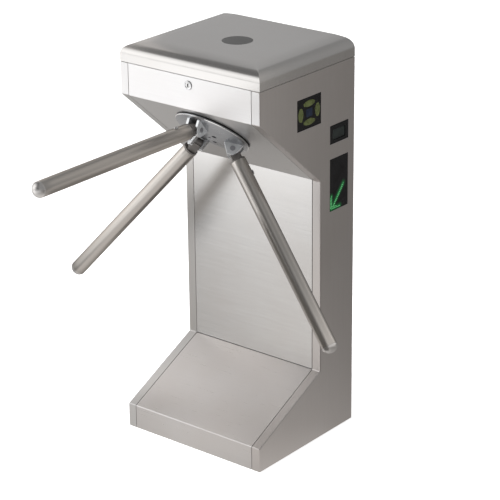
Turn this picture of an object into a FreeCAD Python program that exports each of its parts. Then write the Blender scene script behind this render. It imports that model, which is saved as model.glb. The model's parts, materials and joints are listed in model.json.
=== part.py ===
import FreeCAD, Part
import Sketcher
import math
import os

# Drop arm tripod turnstile, millimetres.
# +Z up, the passage side (lock and hub) faces -Y, +X is the side with the windows.
# Origin: centre of the floor anchor pattern, on the floor.

os.makedirs("parts", exist_ok=True)

V = FreeCAD.Vector
Pl = FreeCAD.Placement
Rot = FreeCAD.Rotation
doc = FreeCAD.newDocument("TripodTurnstile")
sheet = doc.addObject("Spreadsheet::Sheet", "Dims")


class Q:
    """A size that carries both its value and the sheet formula it comes from."""

    def __init__(self, text, val):
        self.text, self.val = text, float(val)

    @staticmethod
    def of(o):
        return o if isinstance(o, Q) else Q("%.9g" % float(o), o)

    def __add__(self, o):
        o = Q.of(o)
        return Q("(%s + %s)" % (self.text, o.text), self.val + o.val)

    def __radd__(self, o):
        return Q.of(o) + self

    def __sub__(self, o):
        o = Q.of(o)
        return Q("(%s - (%s))" % (self.text, o.text), self.val - o.val)

    def __rsub__(self, o):
        return Q.of(o) - self

    def __mul__(self, o):
        o = Q.of(o)
        return Q("(%s * %s)" % (self.text, o.text), self.val * o.val)

    def __rmul__(self, o):
        return Q.of(o) * self

    def __truediv__(self, o):
        o = Q.of(o)
        return Q("(%s / %s)" % (self.text, o.text), self.val / o.val)

    def __neg__(self):
        return Q("(0 - %s)" % self.text, -self.val)


def num(o):
    return o.val if isinstance(o, Q) else float(o)


ROWS = [
    # cabinet
    ("cab_width", 422), ("cab_depth", 376), ("cab_height", 955), ("overall_height", 1000),
    ("head_front", -176), ("head_bottom", 875), ("slant_bottom", 676), ("column_front", 54),
    ("slope_top", 178), ("toe_top", 62), ("flange_width", 24), ("sheet_thk", 2), ("seam_gap", 1.2),
    # base plate
    ("plate_thk", 8), ("anchor_dx", 340), ("anchor_dy", 300), ("anchor_rad", 7),
    ("entry_w", 120), ("entry_d", 80),
    # lid
    ("lid_round", 26), ("lid_gap", 1), ("disc_rad", 37), ("hinge_y", 192.6), ("hinge_z", 955.5),
    ("knuckle_rad", 4), ("hinge_pin_rad", 2),
    # lock
    ("lock_z", 934), ("lock_rad", 9.5), ("plug_rad", 6),
    # side windows
    ("reader_y0", -37), ("reader_y1", 55), ("reader_z0", 823), ("reader_z1", 900),
    ("win_y0", 91), ("win_y1", 164), ("counter_z0", 759), ("counter_z1", 805.5),
    ("arrow_z0", 588.5), ("arrow_z1", 721.5), ("win_flange", 6),
    # hub and arms
    ("hub_rad", 95), ("hub_gap", 2.4), ("pivot_rad", 63), ("pivot_h", 25), ("ear_gap", 23), ("ear_thk", 7.5),
    ("pin_rad", 5), ("run_clear", 0.05), ("tube_rad", 19), ("tube_wall", 2), ("arm_start", 30), ("arm_len", 537),
    ("cap_len", 17), ("knuckle_w", 22.4), ("knuckle_h", 24),
    # mechanism
    ("mech_thk", 8), ("shaft_rad", 15), ("bearing_rad", 26), ("housing_rad", 34), ("housing_flange", 47),
    ("gear_module", 3), ("gear_teeth", 36), ("pinion_teeth", 16), ("gear_thk", 8), ("mesh_slack", 0.3),
    ("cam_rad", 46), ("lock_wheel_rad", 50), ("slot_w", 11), ("slot_depth", 11), ("roller_rad", 8),
    ("plunger_rad", 6), ("rod_rad", 4.5),
]
DIM = {}
for row, (alias, value) in enumerate(ROWS, 1):
    sheet.set("A%d" % row, alias)
    sheet.set("B%d" % row, "%.9g" % value)
    sheet.setAlias("B%d" % row, alias)
    DIM[alias] = value
doc.recompute()


def D(alias):
    return Q("Dims." + alias, DIM[alias])


NODES = []


def node(obj, label):
    obj.Label = label
    NODES.append((label, obj))
    return obj


def bind(obj, prop, q):
    setattr(obj, prop, num(q))
    if isinstance(q, Q):
        obj.setExpression(prop, q.text)


def plane(body, role):
    return [f for f in body.Origin.OriginFeatures if f.Role == role][0]


def new_body(name):
    return doc.addObject("PartDesign::Body", name)


def new_sketch(body, name, role="XY_Plane", off=0):
    sk = body.newObject("Sketcher::SketchObject", name)
    sk.AttachmentSupport = [(plane(body, role), "")]
    sk.MapMode = "FlatFace"
    if num(off):
        sk.AttachmentOffset = Pl(V(0, 0, num(off)), Rot())
        if isinstance(off, Q):
            sk.setExpression("AttachmentOffset.Base.z", off.text)
    return sk


def polygon(sk, pts):
    """Closed outline; every corner is dimensioned from the sketch origin."""
    first = sk.GeometryCount
    n = len(pts)
    for i in range(n):
        a, b = pts[i], pts[(i + 1) % n]
        sk.addGeometry(Part.LineSegment(V(num(a[0]), num(a[1]), 0), V(num(b[0]), num(b[1]), 0)))
    for i in range(n):
        sk.addConstraint(Sketcher.Constraint("Coincident", first + i, 2, first + (i + 1) % n, 1))
    for i, p in enumerate(pts):
        for kind, q in zip(("DistanceX", "DistanceY"), p):
            j = sk.addConstraint(Sketcher.Constraint(kind, -1, 1, first + i, 1, num(q)))
            if isinstance(q, Q):
                sk.setExpression("Constraints[%d]" % j, q.text)


def rect(sk, x0, y0, x1, y1):
    polygon(sk, [(x0, y0), (x1, y0), (x1, y1), (x0, y1)])


def circle(sk, x, y, r):
    g = sk.addGeometry(Part.Circle(V(num(x), num(y), 0), V(0, 0, 1), num(r)))
    j = sk.addConstraint(Sketcher.Constraint("Radius", g, num(r)))
    if isinstance(r, Q):
        sk.setExpression("Constraints[%d]" % j, r.text)
    for kind, q in (("DistanceX", x), ("DistanceY", y)):
        j = sk.addConstraint(Sketcher.Constraint(kind, -1, 1, g, 3, num(q)))
        if isinstance(q, Q):
            sk.setExpression("Constraints[%d]" % j, q.text)


def rounded(sk, pts):
    """Closed outline of (x, y, corner radius) points, corners turned into tangent arcs."""
    n = len(pts)
    ends = []
    for i in range(n):
        p0, p1, p2 = V(*pts[i - 1][:2], 0), V(*pts[i][:2], 0), V(*pts[(i + 1) % n][:2], 0)
        r = pts[i][2] if len(pts[i]) > 2 else 0
        if not r:
            ends.append((p1, None, p1))
            continue
        d0, d1 = (p0 - p1).normalize(), (p2 - p1).normalize()
        half = math.acos(max(-1, min(1, d0.dot(d1)))) / 2
        run = r / math.tan(half)
        bis = (d0 + d1).normalize()
        mid = p1 + bis * (r / math.sin(half) - r)
        ends.append((p1 + d0 * run, mid, p1 + d1 * run))
    for i in range(n):
        a, m, b = ends[i]
        if m is not None:
            sk.addGeometry(Part.Arc(a, m, b))
        c = ends[(i + 1) % n][0]
        if (c - b).Length > 1e-6:
            sk.addGeometry(Part.LineSegment(b, c))


def pad(body, sk, length, rev=False):
    f = body.newObject("PartDesign::Pad", sk.Name + "_pad")
    f.Profile = sk
    bind(f, "Length", length)
    f.Reversed = rev
    return f


def pocket(body, sk, length, rev=False):
    doc.recompute()
    before = body.Shape.Volume
    f = body.newObject("PartDesign::Pocket", sk.Name + "_pocket")
    f.Profile = sk
    bind(f, "Length", length)
    f.Reversed = rev
    doc.recompute()
    if body.Shape.Volume > before - 1e-3:
        raise RuntimeError("pocket cuts nothing: " + body.Name)
    return f


def revolve(body, sk):
    f = body.newObject("PartDesign::Revolution", sk.Name + "_rev")
    f.Profile = sk
    f.ReferenceAxis = (sk, ["V_Axis"])
    f.Angle = 360
    return f


def cyl(name, r, length, at=None):
    o = doc.addObject("Part::Cylinder", name)
    bind(o, "Radius", r)
    bind(o, "Height", length)
    o.Placement = at or Pl()
    return o


def box(name, lx, ly, lz, at):
    o = doc.addObject("Part::Box", name)
    bind(o, "Length", lx)
    bind(o, "Width", ly)
    bind(o, "Height", lz)
    o.Placement = at
    return o


def cut(name, base, tool):
    o = doc.addObject("Part::Cut", name)
    o.Base, o.Tool = base, tool
    return o


def fuse(name, parts):
    o = doc.addObject("Part::MultiFuse", name)
    o.Shapes = parts
    return o


def group(name, parts):
    o = doc.addObject("Part::Compound", name)
    o.Links = parts
    return o


def inset(pts, t, skip=()):
    """Outline moved inwards by t on every edge but those in skip (counter-clockwise points)."""
    n = len(pts)
    lines = []
    for i in range(n):
        a, b = V(*pts[i], 0), V(*pts[(i + 1) % n], 0)
        d = (b - a).normalize()
        nrm = V(-d.y, d.x, 0)
        off = -5.0 if i in skip else t
        lines.append((a + nrm * off, d))
    out = []
    for i in range(n):
        (p, d), (q, e) = lines[i - 1], lines[i]
        k = ((q.x - p.x) * e.y - (q.y - p.y) * e.x) / (d.x * e.y - d.y * e.x)
        out.append((p.x + d.x * k, p.y + d.y * k))
    return out


def strip(pts, t):
    """Bent sheet: a polyline and its copy moved t to the left, joined into one outline."""
    n = len(pts)
    segs = []
    for i in range(n - 1):
        a, b = V(*pts[i], 0), V(*pts[i + 1], 0)
        d = (b - a).normalize()
        segs.append((a + V(-d.y, d.x, 0) * t, d, b + V(-d.y, d.x, 0) * t))
    off = [(segs[0][0].x, segs[0][0].y)]
    for i in range(1, n - 1):
        p, d, _ = segs[i - 1]
        q, e, _ = segs[i]
        k = ((q.x - p.x) * e.y - (q.y - p.y) * e.x) / (d.x * e.y - d.y * e.x)
        off.append((p.x + d.x * k, p.y + d.y * k))
    off.append((segs[-1][2].x, segs[-1][2].y))
    return list(pts) + off[::-1]


# sketch frames: profile in (row Y, row Z) raised along +X; profile in (row X, row Z) raised along -Y
YZ = Rot(V(1, 1, 1), 120)
XZ = Rot(V(1, 0, 0), 90)

W2 = D("cab_width") / 2
B2 = D("cab_depth") / 2
T = D("sheet_thk")
inner_half = num(W2) - DIM["flange_width"] - DIM["seam_gap"]

# ------------------------------------------------------------------ cabinet
yb, yf, yh, yc = num(B2), -num(B2), DIM["head_front"], DIM["column_front"]
zt, z2, z3, z4, z5 = (DIM[k] for k in ("cab_height", "head_bottom", "slant_bottom", "slope_top", "toe_top"))

PROFILE = [(-B2, Q.of(0)), (B2, Q.of(0)), (B2, D("cab_height")), (D("head_front"), D("cab_height")),
           (D("head_front"), D("head_bottom")), (D("column_front"), D("slant_bottom")),
           (D("column_front"), D("slope_top")), (-B2, D("toe_top"))]
INNER = inset([(num(a), num(b)) for a, b in PROFILE], DIM["sheet_thk"], skip=(0,))


def side_panel(label, side, windows):
    b = new_body(label)
    sk = new_sketch(b, label + "_outline")
    polygon(sk, PROFILE)
    pad(b, sk, D("flange_width"))
    # the fold leaves a rim along the outline and one skin at the outside
    pk = new_sketch(b, label + "_fold", off=(D("flange_width") if side < 0 else D("flange_width") - T))
    polygon(pk, INNER)
    pocket(b, pk, D("flange_width") - T)
    if windows:
        wk = new_sketch(b, label + "_windows", off=D("flange_width"))
        for y0, z0, y1, z1 in windows:
            rect(wk, y0, z0, y1, z1)
        pocket(b, wk, T * 2)
    b.Placement = Pl(V(-num(W2) if side < 0 else num(W2) - DIM["flange_width"], 0, 0), YZ)
    return node(b, label)


side_panel("left_side_panel", -1, None)
side_panel("right_side_panel", 1, [
    (D("reader_y0"), D("reader_z0"), D("reader_y1"), D("reader_z1")),
    (D("win_y0"), D("counter_z0"), D("win_y1"), D("counter_z1")),
    (D("win_y0"), D("arrow_z0"), D("win_y1"), D("arrow_z1"))])

# base plate on the floor, with anchor holes and a cable entry
b = new_body("base_plate")
sk = new_sketch(b, "base_plate_outline")
rect(sk, -W2 + T, -B2 + T, W2 - T, B2 - T - 2)
for sx in (-1, 1):
    for sy in (-1, 1):
        circle(sk, D("anchor_dx") / 2 * sx, D("anchor_dy") / 2 * sy, D("anchor_rad"))
rect(sk, -D("entry_w") / 2, -D("entry_d") / 2, D("entry_w") / 2, D("entry_d") / 2)
pad(b, sk, D("plate_thk"))
node(b, "base_plate")


def bent_sheet(label, line, thickness):
    """Sheet between the flanges of the two side panels, bent along a line of (y, z) points."""
    b = new_body(label)
    sk = new_sketch(b, label + "_bend")
    polygon(sk, strip(line, thickness))
    pad(b, sk, (W2 - D("flange_width") - D("seam_gap")) * 2)
    b.Placement = Pl(V(-inner_half, 0, 0), YZ)
    return b


slant = math.degrees(math.atan2(z2 - z3, yc - yh))
su, cu = math.sin(math.radians(slant)), math.cos(math.radians(slant))
slant_len = math.hypot(z2 - z3, yc - yh)
HUB_AT = 0.374
hub_c = V(0, yh + HUB_AT * (yc - yh), z2 - HUB_AT * (z2 - z3))
# hub frame: X as the row, Y up the slanted face, Z out of it along the hub axis
PM = Pl(hub_c, Rot(V(1, 0, 0), 180 - slant))

gap = DIM["seam_gap"]
# head front and the slanted face under it, with the return that carries the lid's edge
dn = (cu, -su)
head = bent_sheet("head_sheet", [(yh + 12, zt - 0.0), (yh, zt - 0.0), (yh, z2), (yc - 0.9 * cu, z3 + 0.9 * su)], DIM["sheet_thk"])
hole = cyl("hub_opening", 34, 30, PM * Pl(V(0, 0, -15), Rot()))
lock_hole = cyl("lock_opening", D("lock_rad"), 12, Pl(V(0, yh - 5, DIM["lock_z"]), Rot(V(1, 0, 0), -90)))
node(cut("head_front_panel_cut", head, fuse("head_holes", [hole, lock_hole])), "head_front_panel")

b = new_body("column_front_panel")
sk = new_sketch(b, "column_outline")
rect(sk, -inner_half, z4 + gap, inner_half, z3 + 0.5)
pad(b, sk, T, rev=True)
b.Placement = Pl(V(0, yc, 0), XZ)
node(b, "column_front_panel")

b = bent_sheet("base_sheet", [(yc, z4), (yf, z5), (yf, 0)], DIM["sheet_thk"])
node(b, "base_cover")

# rear cover between the rear flanges, under a fixed top rail that carries the lid hinges
RAIL_Z = 905
b = new_body("rear_cover")
sk = new_sketch(b, "rear_outline")
rect(sk, -inner_half, 12, inner_half, RAIL_Z - gap)
for row in range(5):
    for z0 in (120, 780):
        rect(sk, -60, z0 + 12 * row, 60, z0 + 12 * row + 4)
for sx in (-1, 1):
    for z in (40, 460, 880):
        circle(sk, sx * (inner_half - 12), z, 2.6)
pad(b, sk, T)
b.Placement = Pl(V(0, yb, 0), XZ)
node(b, "rear_cover")

b = new_body("rear_top_rail")
sk = new_sketch(b, "rail_bend")
polygon(sk, strip([(yb, RAIL_Z), (yb, zt), (yb - 16, zt)], DIM["sheet_thk"]))
pad(b, sk, (W2 - D("flange_width") - D("seam_gap")) * 2)
b.Placement = Pl(V(-inner_half, 0, 0), YZ)
node(b, "rear_top_rail")

screws = []
for i, (sx, z) in enumerate([(sx, z) for sx in (-1, 1) for z in (40, 460, 880)]):
    b = new_body("cover_screw_%d" % (i + 1))
    sk = new_sketch(b, "cover_screw_profile_%d" % (i + 1), "XZ_Plane")
    pts = [(0, -12), (2.5, -12), (2.5, 0), (5.2, 0), (4.6, 1.6), (3.0, 2.5), (0, 2.9)]
    for k in range(len(pts)):
        p, q = pts[k], pts[(k + 1) % len(pts)]
        sk.addGeometry(Part.LineSegment(V(*p, 0), V(*q, 0)))
    revolve(b, sk)
    s2 = new_sketch(b, "cover_screw_slot_%d" % (i + 1), off=2.9)
    polygon(s2, [(-2.6, -0.5), (2.6, -0.5), (2.6, 0.5), (-2.6, 0.5)])
    pocket(b, s2, 1.3)
    b.Placement = Pl(V(sx * (inner_half - 12), yb, z), Rot(V(1, 0, 0), -90))
    screws.append(b)
node(group("cover_screw_set", screws), "cover_screws")

# ------------------------------------------------------------------ lid
lid_z = zt + DIM["lid_gap"]
lid_h = D("overall_height") - D("cab_height") - D("lid_gap")
lid_hn = num(lid_h)


def lid_core(name, t):
    """Rounded front, left and right top edges: two rounded outlines crossed, mitred at the corners."""
    r = DIM["lid_round"] - t
    w, y0, y1, top, low = num(W2) - t, yh + t, yb - t, lid_hn - t, (0 if t == 0 else -3)
    fb = new_body(name + "_across")
    s1 = new_sketch(fb, name + "_across_outline")
    rounded(s1, [(-w, low), (w, low), (w, top, r), (-w, top, r)])
    pad(fb, s1, y1 - y0)
    fb.Placement = Pl(V(0, y1, lid_z), XZ)
    sb = new_body(name + "_along")
    s2 = new_sketch(sb, name + "_along_outline")
    rounded(s2, [(y0, low), (y1, low), (y1, top), (y0, top, r)])
    pad(sb, s2, 2 * w)
    sb.Placement = Pl(V(-w, 0, lid_z), YZ)
    c = doc.addObject("Part::Common", name)
    c.Base, c.Tool = fb, sb
    return c


disc_y = (yh + yb) / 2
lid_solid = lid_core("lid_outside", 0)
lid_void = lid_core("lid_inside", DIM["sheet_thk"])
disc_hole = cyl("disc_opening", D("disc_rad") + 0.3, 20, Pl(V(0, disc_y, lid_z + lid_hn - 15), Rot()))
node(cut("lid_shell", lid_solid, fuse("lid_tools", [lid_void, disc_hole])), "top_lid")

b = new_body("reader_disc")
sk = new_sketch(b, "disc_profile", "XZ_Plane")
dr = DIM["disc_rad"]
pts = [(0, -8), (dr + 6, -8), (dr + 6, -2), (dr, -2), (dr, -0.3), (dr - 0.4, 0.1), (0, 0.1)]
for k in range(len(pts)):
    p, q = pts[k], pts[(k + 1) % len(pts)]
    sk.addGeometry(Part.LineSegment(V(*p, 0), V(*q, 0)))
revolve(b, sk)
b.Placement = Pl(V(0, disc_y, lid_z + lid_hn), Rot())
node(b, "reader_disc")

# striker: a hooked strip under the lid that the lock cam holds down
b = new_body("lid_striker")
sk = new_sketch(b, "striker_bend")
polygon(sk, strip([(-158, 918), (-139, 918), (-139, 998), (-120, 998)], -3)[::-1])
pad(b, sk, 16)
b.Placement = Pl(V(18, 0, 0), YZ)
node(b, "lid_striker")

hy, hz = DIM["hinge_y"], DIM["hinge_z"]
lid_leaves, cab_leaves, hinge_pins = [], [], []
for i, hx in enumerate((-120, 120)):
    n = str(i + 1)
    leaf = box("lid_leaf_plate" + n, 56, 2, 24, Pl(V(hx - 28, yb, hz + 4.6), Rot()))
    web = box("lid_leaf_web" + n, 23, hy - yb, 5, Pl(V(hx - 11.5, yb, hz + 0.6), Rot()))
    kn = cyl("lid_leaf_knuckle" + n, D("knuckle_rad"), 23, Pl(V(hx - 11.5, hy, hz), Rot(V(0, 1, 0), 90)))
    bore = cyl("lid_leaf_bore" + n, D("hinge_pin_rad") + D("run_clear"), 40, Pl(V(hx - 20, hy, hz), Rot(V(0, 1, 0), 90)))
    lid_leaves.append(cut("lid_leaf" + n, fuse("lid_leaf_body" + n, [leaf, web, kn]), bore))
    cl = box("cab_leaf_plate" + n, 56, 2, 30, Pl(V(hx - 28, yb, hz - 34.6), Rot()))
    parts = [cl]
    for k, x0 in enumerate((hx - 28, hx + 12)):
        parts.append(cyl("cab_leaf_knuckle%s%d" % (n, k), D("knuckle_rad"), 16, Pl(V(x0, hy, hz), Rot(V(0, 1, 0), 90))))
        parts.append(box("cab_leaf_web%s%d" % (n, k), 16, hy - yb, 6, Pl(V(x0, yb, hz - 7), Rot())))
    cbore = cyl("cab_leaf_bore" + n, D("hinge_pin_rad"), 80, Pl(V(hx - 40, hy, hz), Rot(V(0, 1, 0), 90)))
    cab_leaves.append(cut("cab_leaf" + n, fuse("cab_leaf_body" + n, parts), cbore))
    hinge_pins.append(cyl("hinge_pin" + n, D("hinge_pin_rad"), 56, Pl(V(hx - 28, hy, hz), Rot(V(0, 1, 0), 90))))
node(group("lid_leaf_set", lid_leaves), "lid_hinge_leaves")
node(group("cab_leaf_set", cab_leaves), "cabinet_hinge_leaves")
node(group("hinge_pin_set", hinge_pins), "lid_hinge_pins")

# ------------------------------------------------------------------ cam lock
# local Z runs out of the head front (towards -Y)
PLK = Pl(V(0, yh, DIM["lock_z"]), Rot(V(1, 0, 0), 90))


def round_part(label, pts, at, extra=None):
    b = new_body(label + "_turned")
    sk = new_sketch(b, label + "_profile", "XZ_Plane")
    n = len(pts)
    for k in range(n):
        p, q = pts[k], pts[(k + 1) % n]
        sk.addGeometry(Part.LineSegment(V(p[0], p[1], 0), V(q[0], q[1], 0)))
    revolve(b, sk)
    if extra:
        extra(b)
    b.Placement = at
    return b


pr, lr = DIM["plug_rad"], DIM["lock_rad"]
node(round_part("lock_barrel", [(pr + 0.05, -20), (lr, -20), (lr, -0.0), (lr + 1.6, 0.0), (lr + 1.6, 0.8), (lr + 0.7, 1.9),
                                (lr - 1.2, 2.1), (lr - 2.4, 1.4), (pr + 0.05, 1.4)], PLK), "lock_barrel")


def keyway(b):
    s = new_sketch(b, "keyway", off=1.4)
    polygon(s, [(-0.9, -3.4), (0.9, -3.4), (0.9, 3.4), (-0.9, 3.4)])
    pocket(b, s, 9)


node(round_part("lock_plug", [(0, -24), (3.5, -24), (3.5, -20.3), (pr, -20.3), (pr, 1.1), (pr - 0.4, 1.4), (0, 1.4)], PLK, keyway), "lock_plug")
b = new_body("lock_cam")
sk = new_sketch(b, "cam_tongue")
rounded(sk, [(-7, -9, 5), (7, -9, 5), (5.5, 36, 3), (-5.5, 36, 3)])
pad(b, sk, 3)
b.Placement = PLK * Pl(V(0, 0, -27), Rot())
node(b, "lock_cam")

# ------------------------------------------------------------------ side windows
skin_in = num(W2) - DIM["sheet_thk"]


def window(label, y0, z0, y1, z1, proud, opening=None):
    """Plate let into a cut-out of the right skin, with a flange behind it."""
    b = new_body(label)
    f = DIM["win_flange"]
    s1 = new_sketch(b, label + "_flange")
    rect(s1, y0 - D("win_flange"), z0 - D("win_flange"), y1 + D("win_flange"), z1 + D("win_flange"))
    if opening:
        rect(s1, *opening)
    pad(b, s1, 3)
    s2 = new_sketch(b, label + "_face", off=2.5)
    rect(s2, y0 + 0.3, z0 + 0.3, y1 - 0.3, z1 - 0.3)
    if opening:
        rect(s2, *opening)
    pad(b, s2, 0.5 + DIM["sheet_thk"] + proud)
    b.Placement = Pl(V(skin_in - 3, 0, 0), YZ)
    return node(b, label)


window("reader_panel", D("reader_y0"), D("reader_z0"), D("reader_y1"), D("reader_z1"), -0.3)
cy0, cy1, cz0, cz1 = DIM["win_y0"] + 10, DIM["win_y1"] - 13, DIM["counter_z0"] + 9, DIM["counter_z1"] - 12
window("counter_bezel", D("win_y0"), D("counter_z0"), D("win_y1"), D("counter_z1"), 0.4, (cy0, cz0, cy1, cz1))
b = new_body("counter_display")
sk = new_sketch(b, "display_outline")
rect(sk, cy0, cz0, cy1, cz1)
pad(b, sk, 3.6)
b.Placement = Pl(V(skin_in - 3, 0, 0), YZ)
node(b, "counter_display")
window("arrow_window", D("win_y0"), D("arrow_z0"), D("win_y1"), D("arrow_z1"), -0.3)

# four plain lens shapes on the reader panel
petals = []
py, pz = (DIM["reader_y0"] + DIM["reader_y1"]) / 2, (DIM["reader_z0"] + DIM["reader_z1"]) / 2
for i, (dy, dz, half, belly, end, upright) in enumerate(((0, 22.5, 21.5, 7.8, 2.6, 0), (0, -22.5, 21.5, 7.8, 2.6, 0), (-32, 0, 16.5, 9.6, 3.2, 1), (32, 0, 16.5, 9.6, 3.2, 1))):
    b = new_body("petal_%d" % (i + 1))
    sk = new_sketch(b, "petal_outline_%d" % (i + 1))
    pts = [V(-half, -end, 0), V(0, -belly, 0), V(half, -end, 0), V(half, end, 0), V(0, belly, 0), V(-half, end, 0)]
    pts = [V(dy - q.y, dz + q.x, 0) if upright else V(dy + q.x, dz + q.y, 0) for q in pts]
    sk.addGeometry(Part.Arc(pts[0], pts[1], pts[2]))
    sk.addGeometry(Part.LineSegment(pts[2], pts[3]))
    sk.addGeometry(Part.Arc(pts[3], pts[4], pts[5]))
    sk.addGeometry(Part.LineSegment(pts[5], pts[0]))
    pad(b, sk, 0.5)
    b.Placement = Pl(V(num(W2) - 0.3, py, pz), YZ)
    petals.append(b)
node(group("petal_set", petals), "reader_petals")

# arrow of separate light dots: shaft, upright barb and level barb
dots = []
spots = [(98.2, 594.5 + 3.6 * k) for k in range(0, 10)]
spots += [(94.2, 596.3 + 3.6 * k) for k in range(0, 8)]
spots += [(98.2 + 4.1 * k, 594.5) for k in range(1, 9)]
spots += [(104.4 + 4.1 * k, 598.3) for k in range(0, 4)]
spots += [(102.2 + 3.0 * k, 599.4 + 3.5 * k) for k in range(0, 15)]
spots += [(107.6 + 3.0 * k, 601.6 + 3.5 * k) for k in range(0, 13)]
for i, (y, z) in enumerate(spots):
    dots.append(cyl("light_dot_%d" % i, 1.1, 0.7, Pl(V(num(W2) - 0.3, y, z), Rot(V(0, 1, 0), 90))))
node(group("light_dot_set", dots), "arrow_lights")

# ------------------------------------------------------------------ hub
hr, hg = DIM["hub_rad"], DIM["hub_gap"]
b = new_body("hub_disc")
sk = new_sketch(b, "hub_profile", "XZ_Plane")
seq = [(6.2, -6), (26, -6), (26, hg), (hr - 1, hg), (hr, hg + 1), (hr, hg + 3.2), (hr - 1.2, hg + 4.4)]
for k in range(len(seq) - 1):
    sk.addGeometry(Part.LineSegment(V(*seq[k], 0), V(*seq[k + 1], 0)))
# shallow crown: part of a large ball centred on the hub axis
r0, h0, r1, h1 = hr - 1.2, hg + 4.4, 20.0, 18.5
zc = (r1 ** 2 + h1 ** 2 - r0 ** 2 - h0 ** 2) / (2 * (h1 - h0))
crown = math.hypot(r1, h1 - zc)
sk.addGeometry(Part.Arc(V(r0, h0, 0), V(58, zc + math.sqrt(crown ** 2 - 58 ** 2), 0), V(r1, h1, 0)))
sk.addGeometry(Part.LineSegment(V(20, 18.5, 0), V(10.4, 18.5, 0)))
sk.addGeometry(Part.LineSegment(V(10.4, 18.5, 0), V(6.2, 14.3, 0)))
sk.addGeometry(Part.LineSegment(V(6.2, 14.3, 0), V(6.2, -6, 0)))
revolve(b, sk)
hub_parts = [b]
EAR = [(36, 6, 0), (84, 5, 0), (83.5, 11, 3), (79, 29, 11), (69.5, 41.5, 8), (56, 42.5, 7), (38.5, 20, 3)]
for i in range(3):
    turn = Pl(V(0, 0, 0), Rot(V(0, 0, 1), 120 * i))
    for s in (-1, 1):
        e = new_body("ear_%d_%s" % (i + 1, "a" if s < 0 else "b"))
        k = new_sketch(e, e.Name + "_outline")
        rounded(k, EAR)
        circle(k, D("pivot_rad"), D("pivot_h"), D("pin_rad"))
        cheek = pad(e, k, D("ear_thk"))
        doc.recompute()
        # soften the edges of the outer cheek
        edges = []
        for n_, ed in enumerate(e.Shape.Edges, 1):
            zs = [v.Point.z for v in ed.Vertexes]
            top = DIM["ear_thk"] if s > 0 else 0.0
            if all(abs(z - top) < 1e-6 for z in zs) and ed.BoundBox.YMax > 12.5 and ed.Curve.TypeId != "Part::GeomCircle" or \
               all(abs(z - top) < 1e-6 for z in zs) and ed.Curve.TypeId == "Part::GeomCircle" and abs(ed.Curve.Radius - DIM["pin_rad"]) > 0.5:
                edges.append("Edge%d" % n_)
        fl = e.newObject("PartDesign::Fillet", e.Name + "_soft")
        fl.Base = (cheek, edges)
        fl.Radius = 1.6
        x0 = (DIM["ear_gap"] / 2) if s > 0 else -(DIM["ear_gap"] / 2 + DIM["ear_thk"])
        e.Placement = turn * Pl(V(x0, 0, 0), YZ)
        hub_parts.append(e)
# three screw pockets between the pairs of ears
pockets = [Pl(V(24.5 * math.cos(math.radians(w)), 24.5 * math.sin(math.radians(w)), 0), Rot()) for w in (30, 150, 270)]
wells = [cyl("hub_well_%d" % (k + 1), 6, 14, q * Pl(V(0, 0, 11), Rot())) for k, q in enumerate(pockets)]
hub = cut("hub_drilled", fuse("hub_fused", hub_parts), fuse("hub_wells", wells))
hub.Placement = PM
node(hub, "hub_plate")

# flush centre bolt and three socket screws
screws = [round_part("hub_centre_bolt", [(0, -36), (6, -36), (6, 14.3), (10.15, 18.45), (4, 18.45), (4, 14.4), (0, 14.4)], PM)]
for k, q in enumerate(pockets):
    screws.append(round_part("hub_screw_%d" % (k + 1), [(0, 11), (5.7, 11), (5.7, 14.4), (5.2, 14.9), (2.8, 14.9), (2.8, 12.4), (0, 12.4)], PM * q))
node(group("hub_screw_set", screws), "hub_screws")
node(round_part("hub_seal_ring", [(60, 0), (94.6, 0), (94.6, 1.1), (94, 1.7), (60, 1.7)], PM), "hub_seal_ring")

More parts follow.
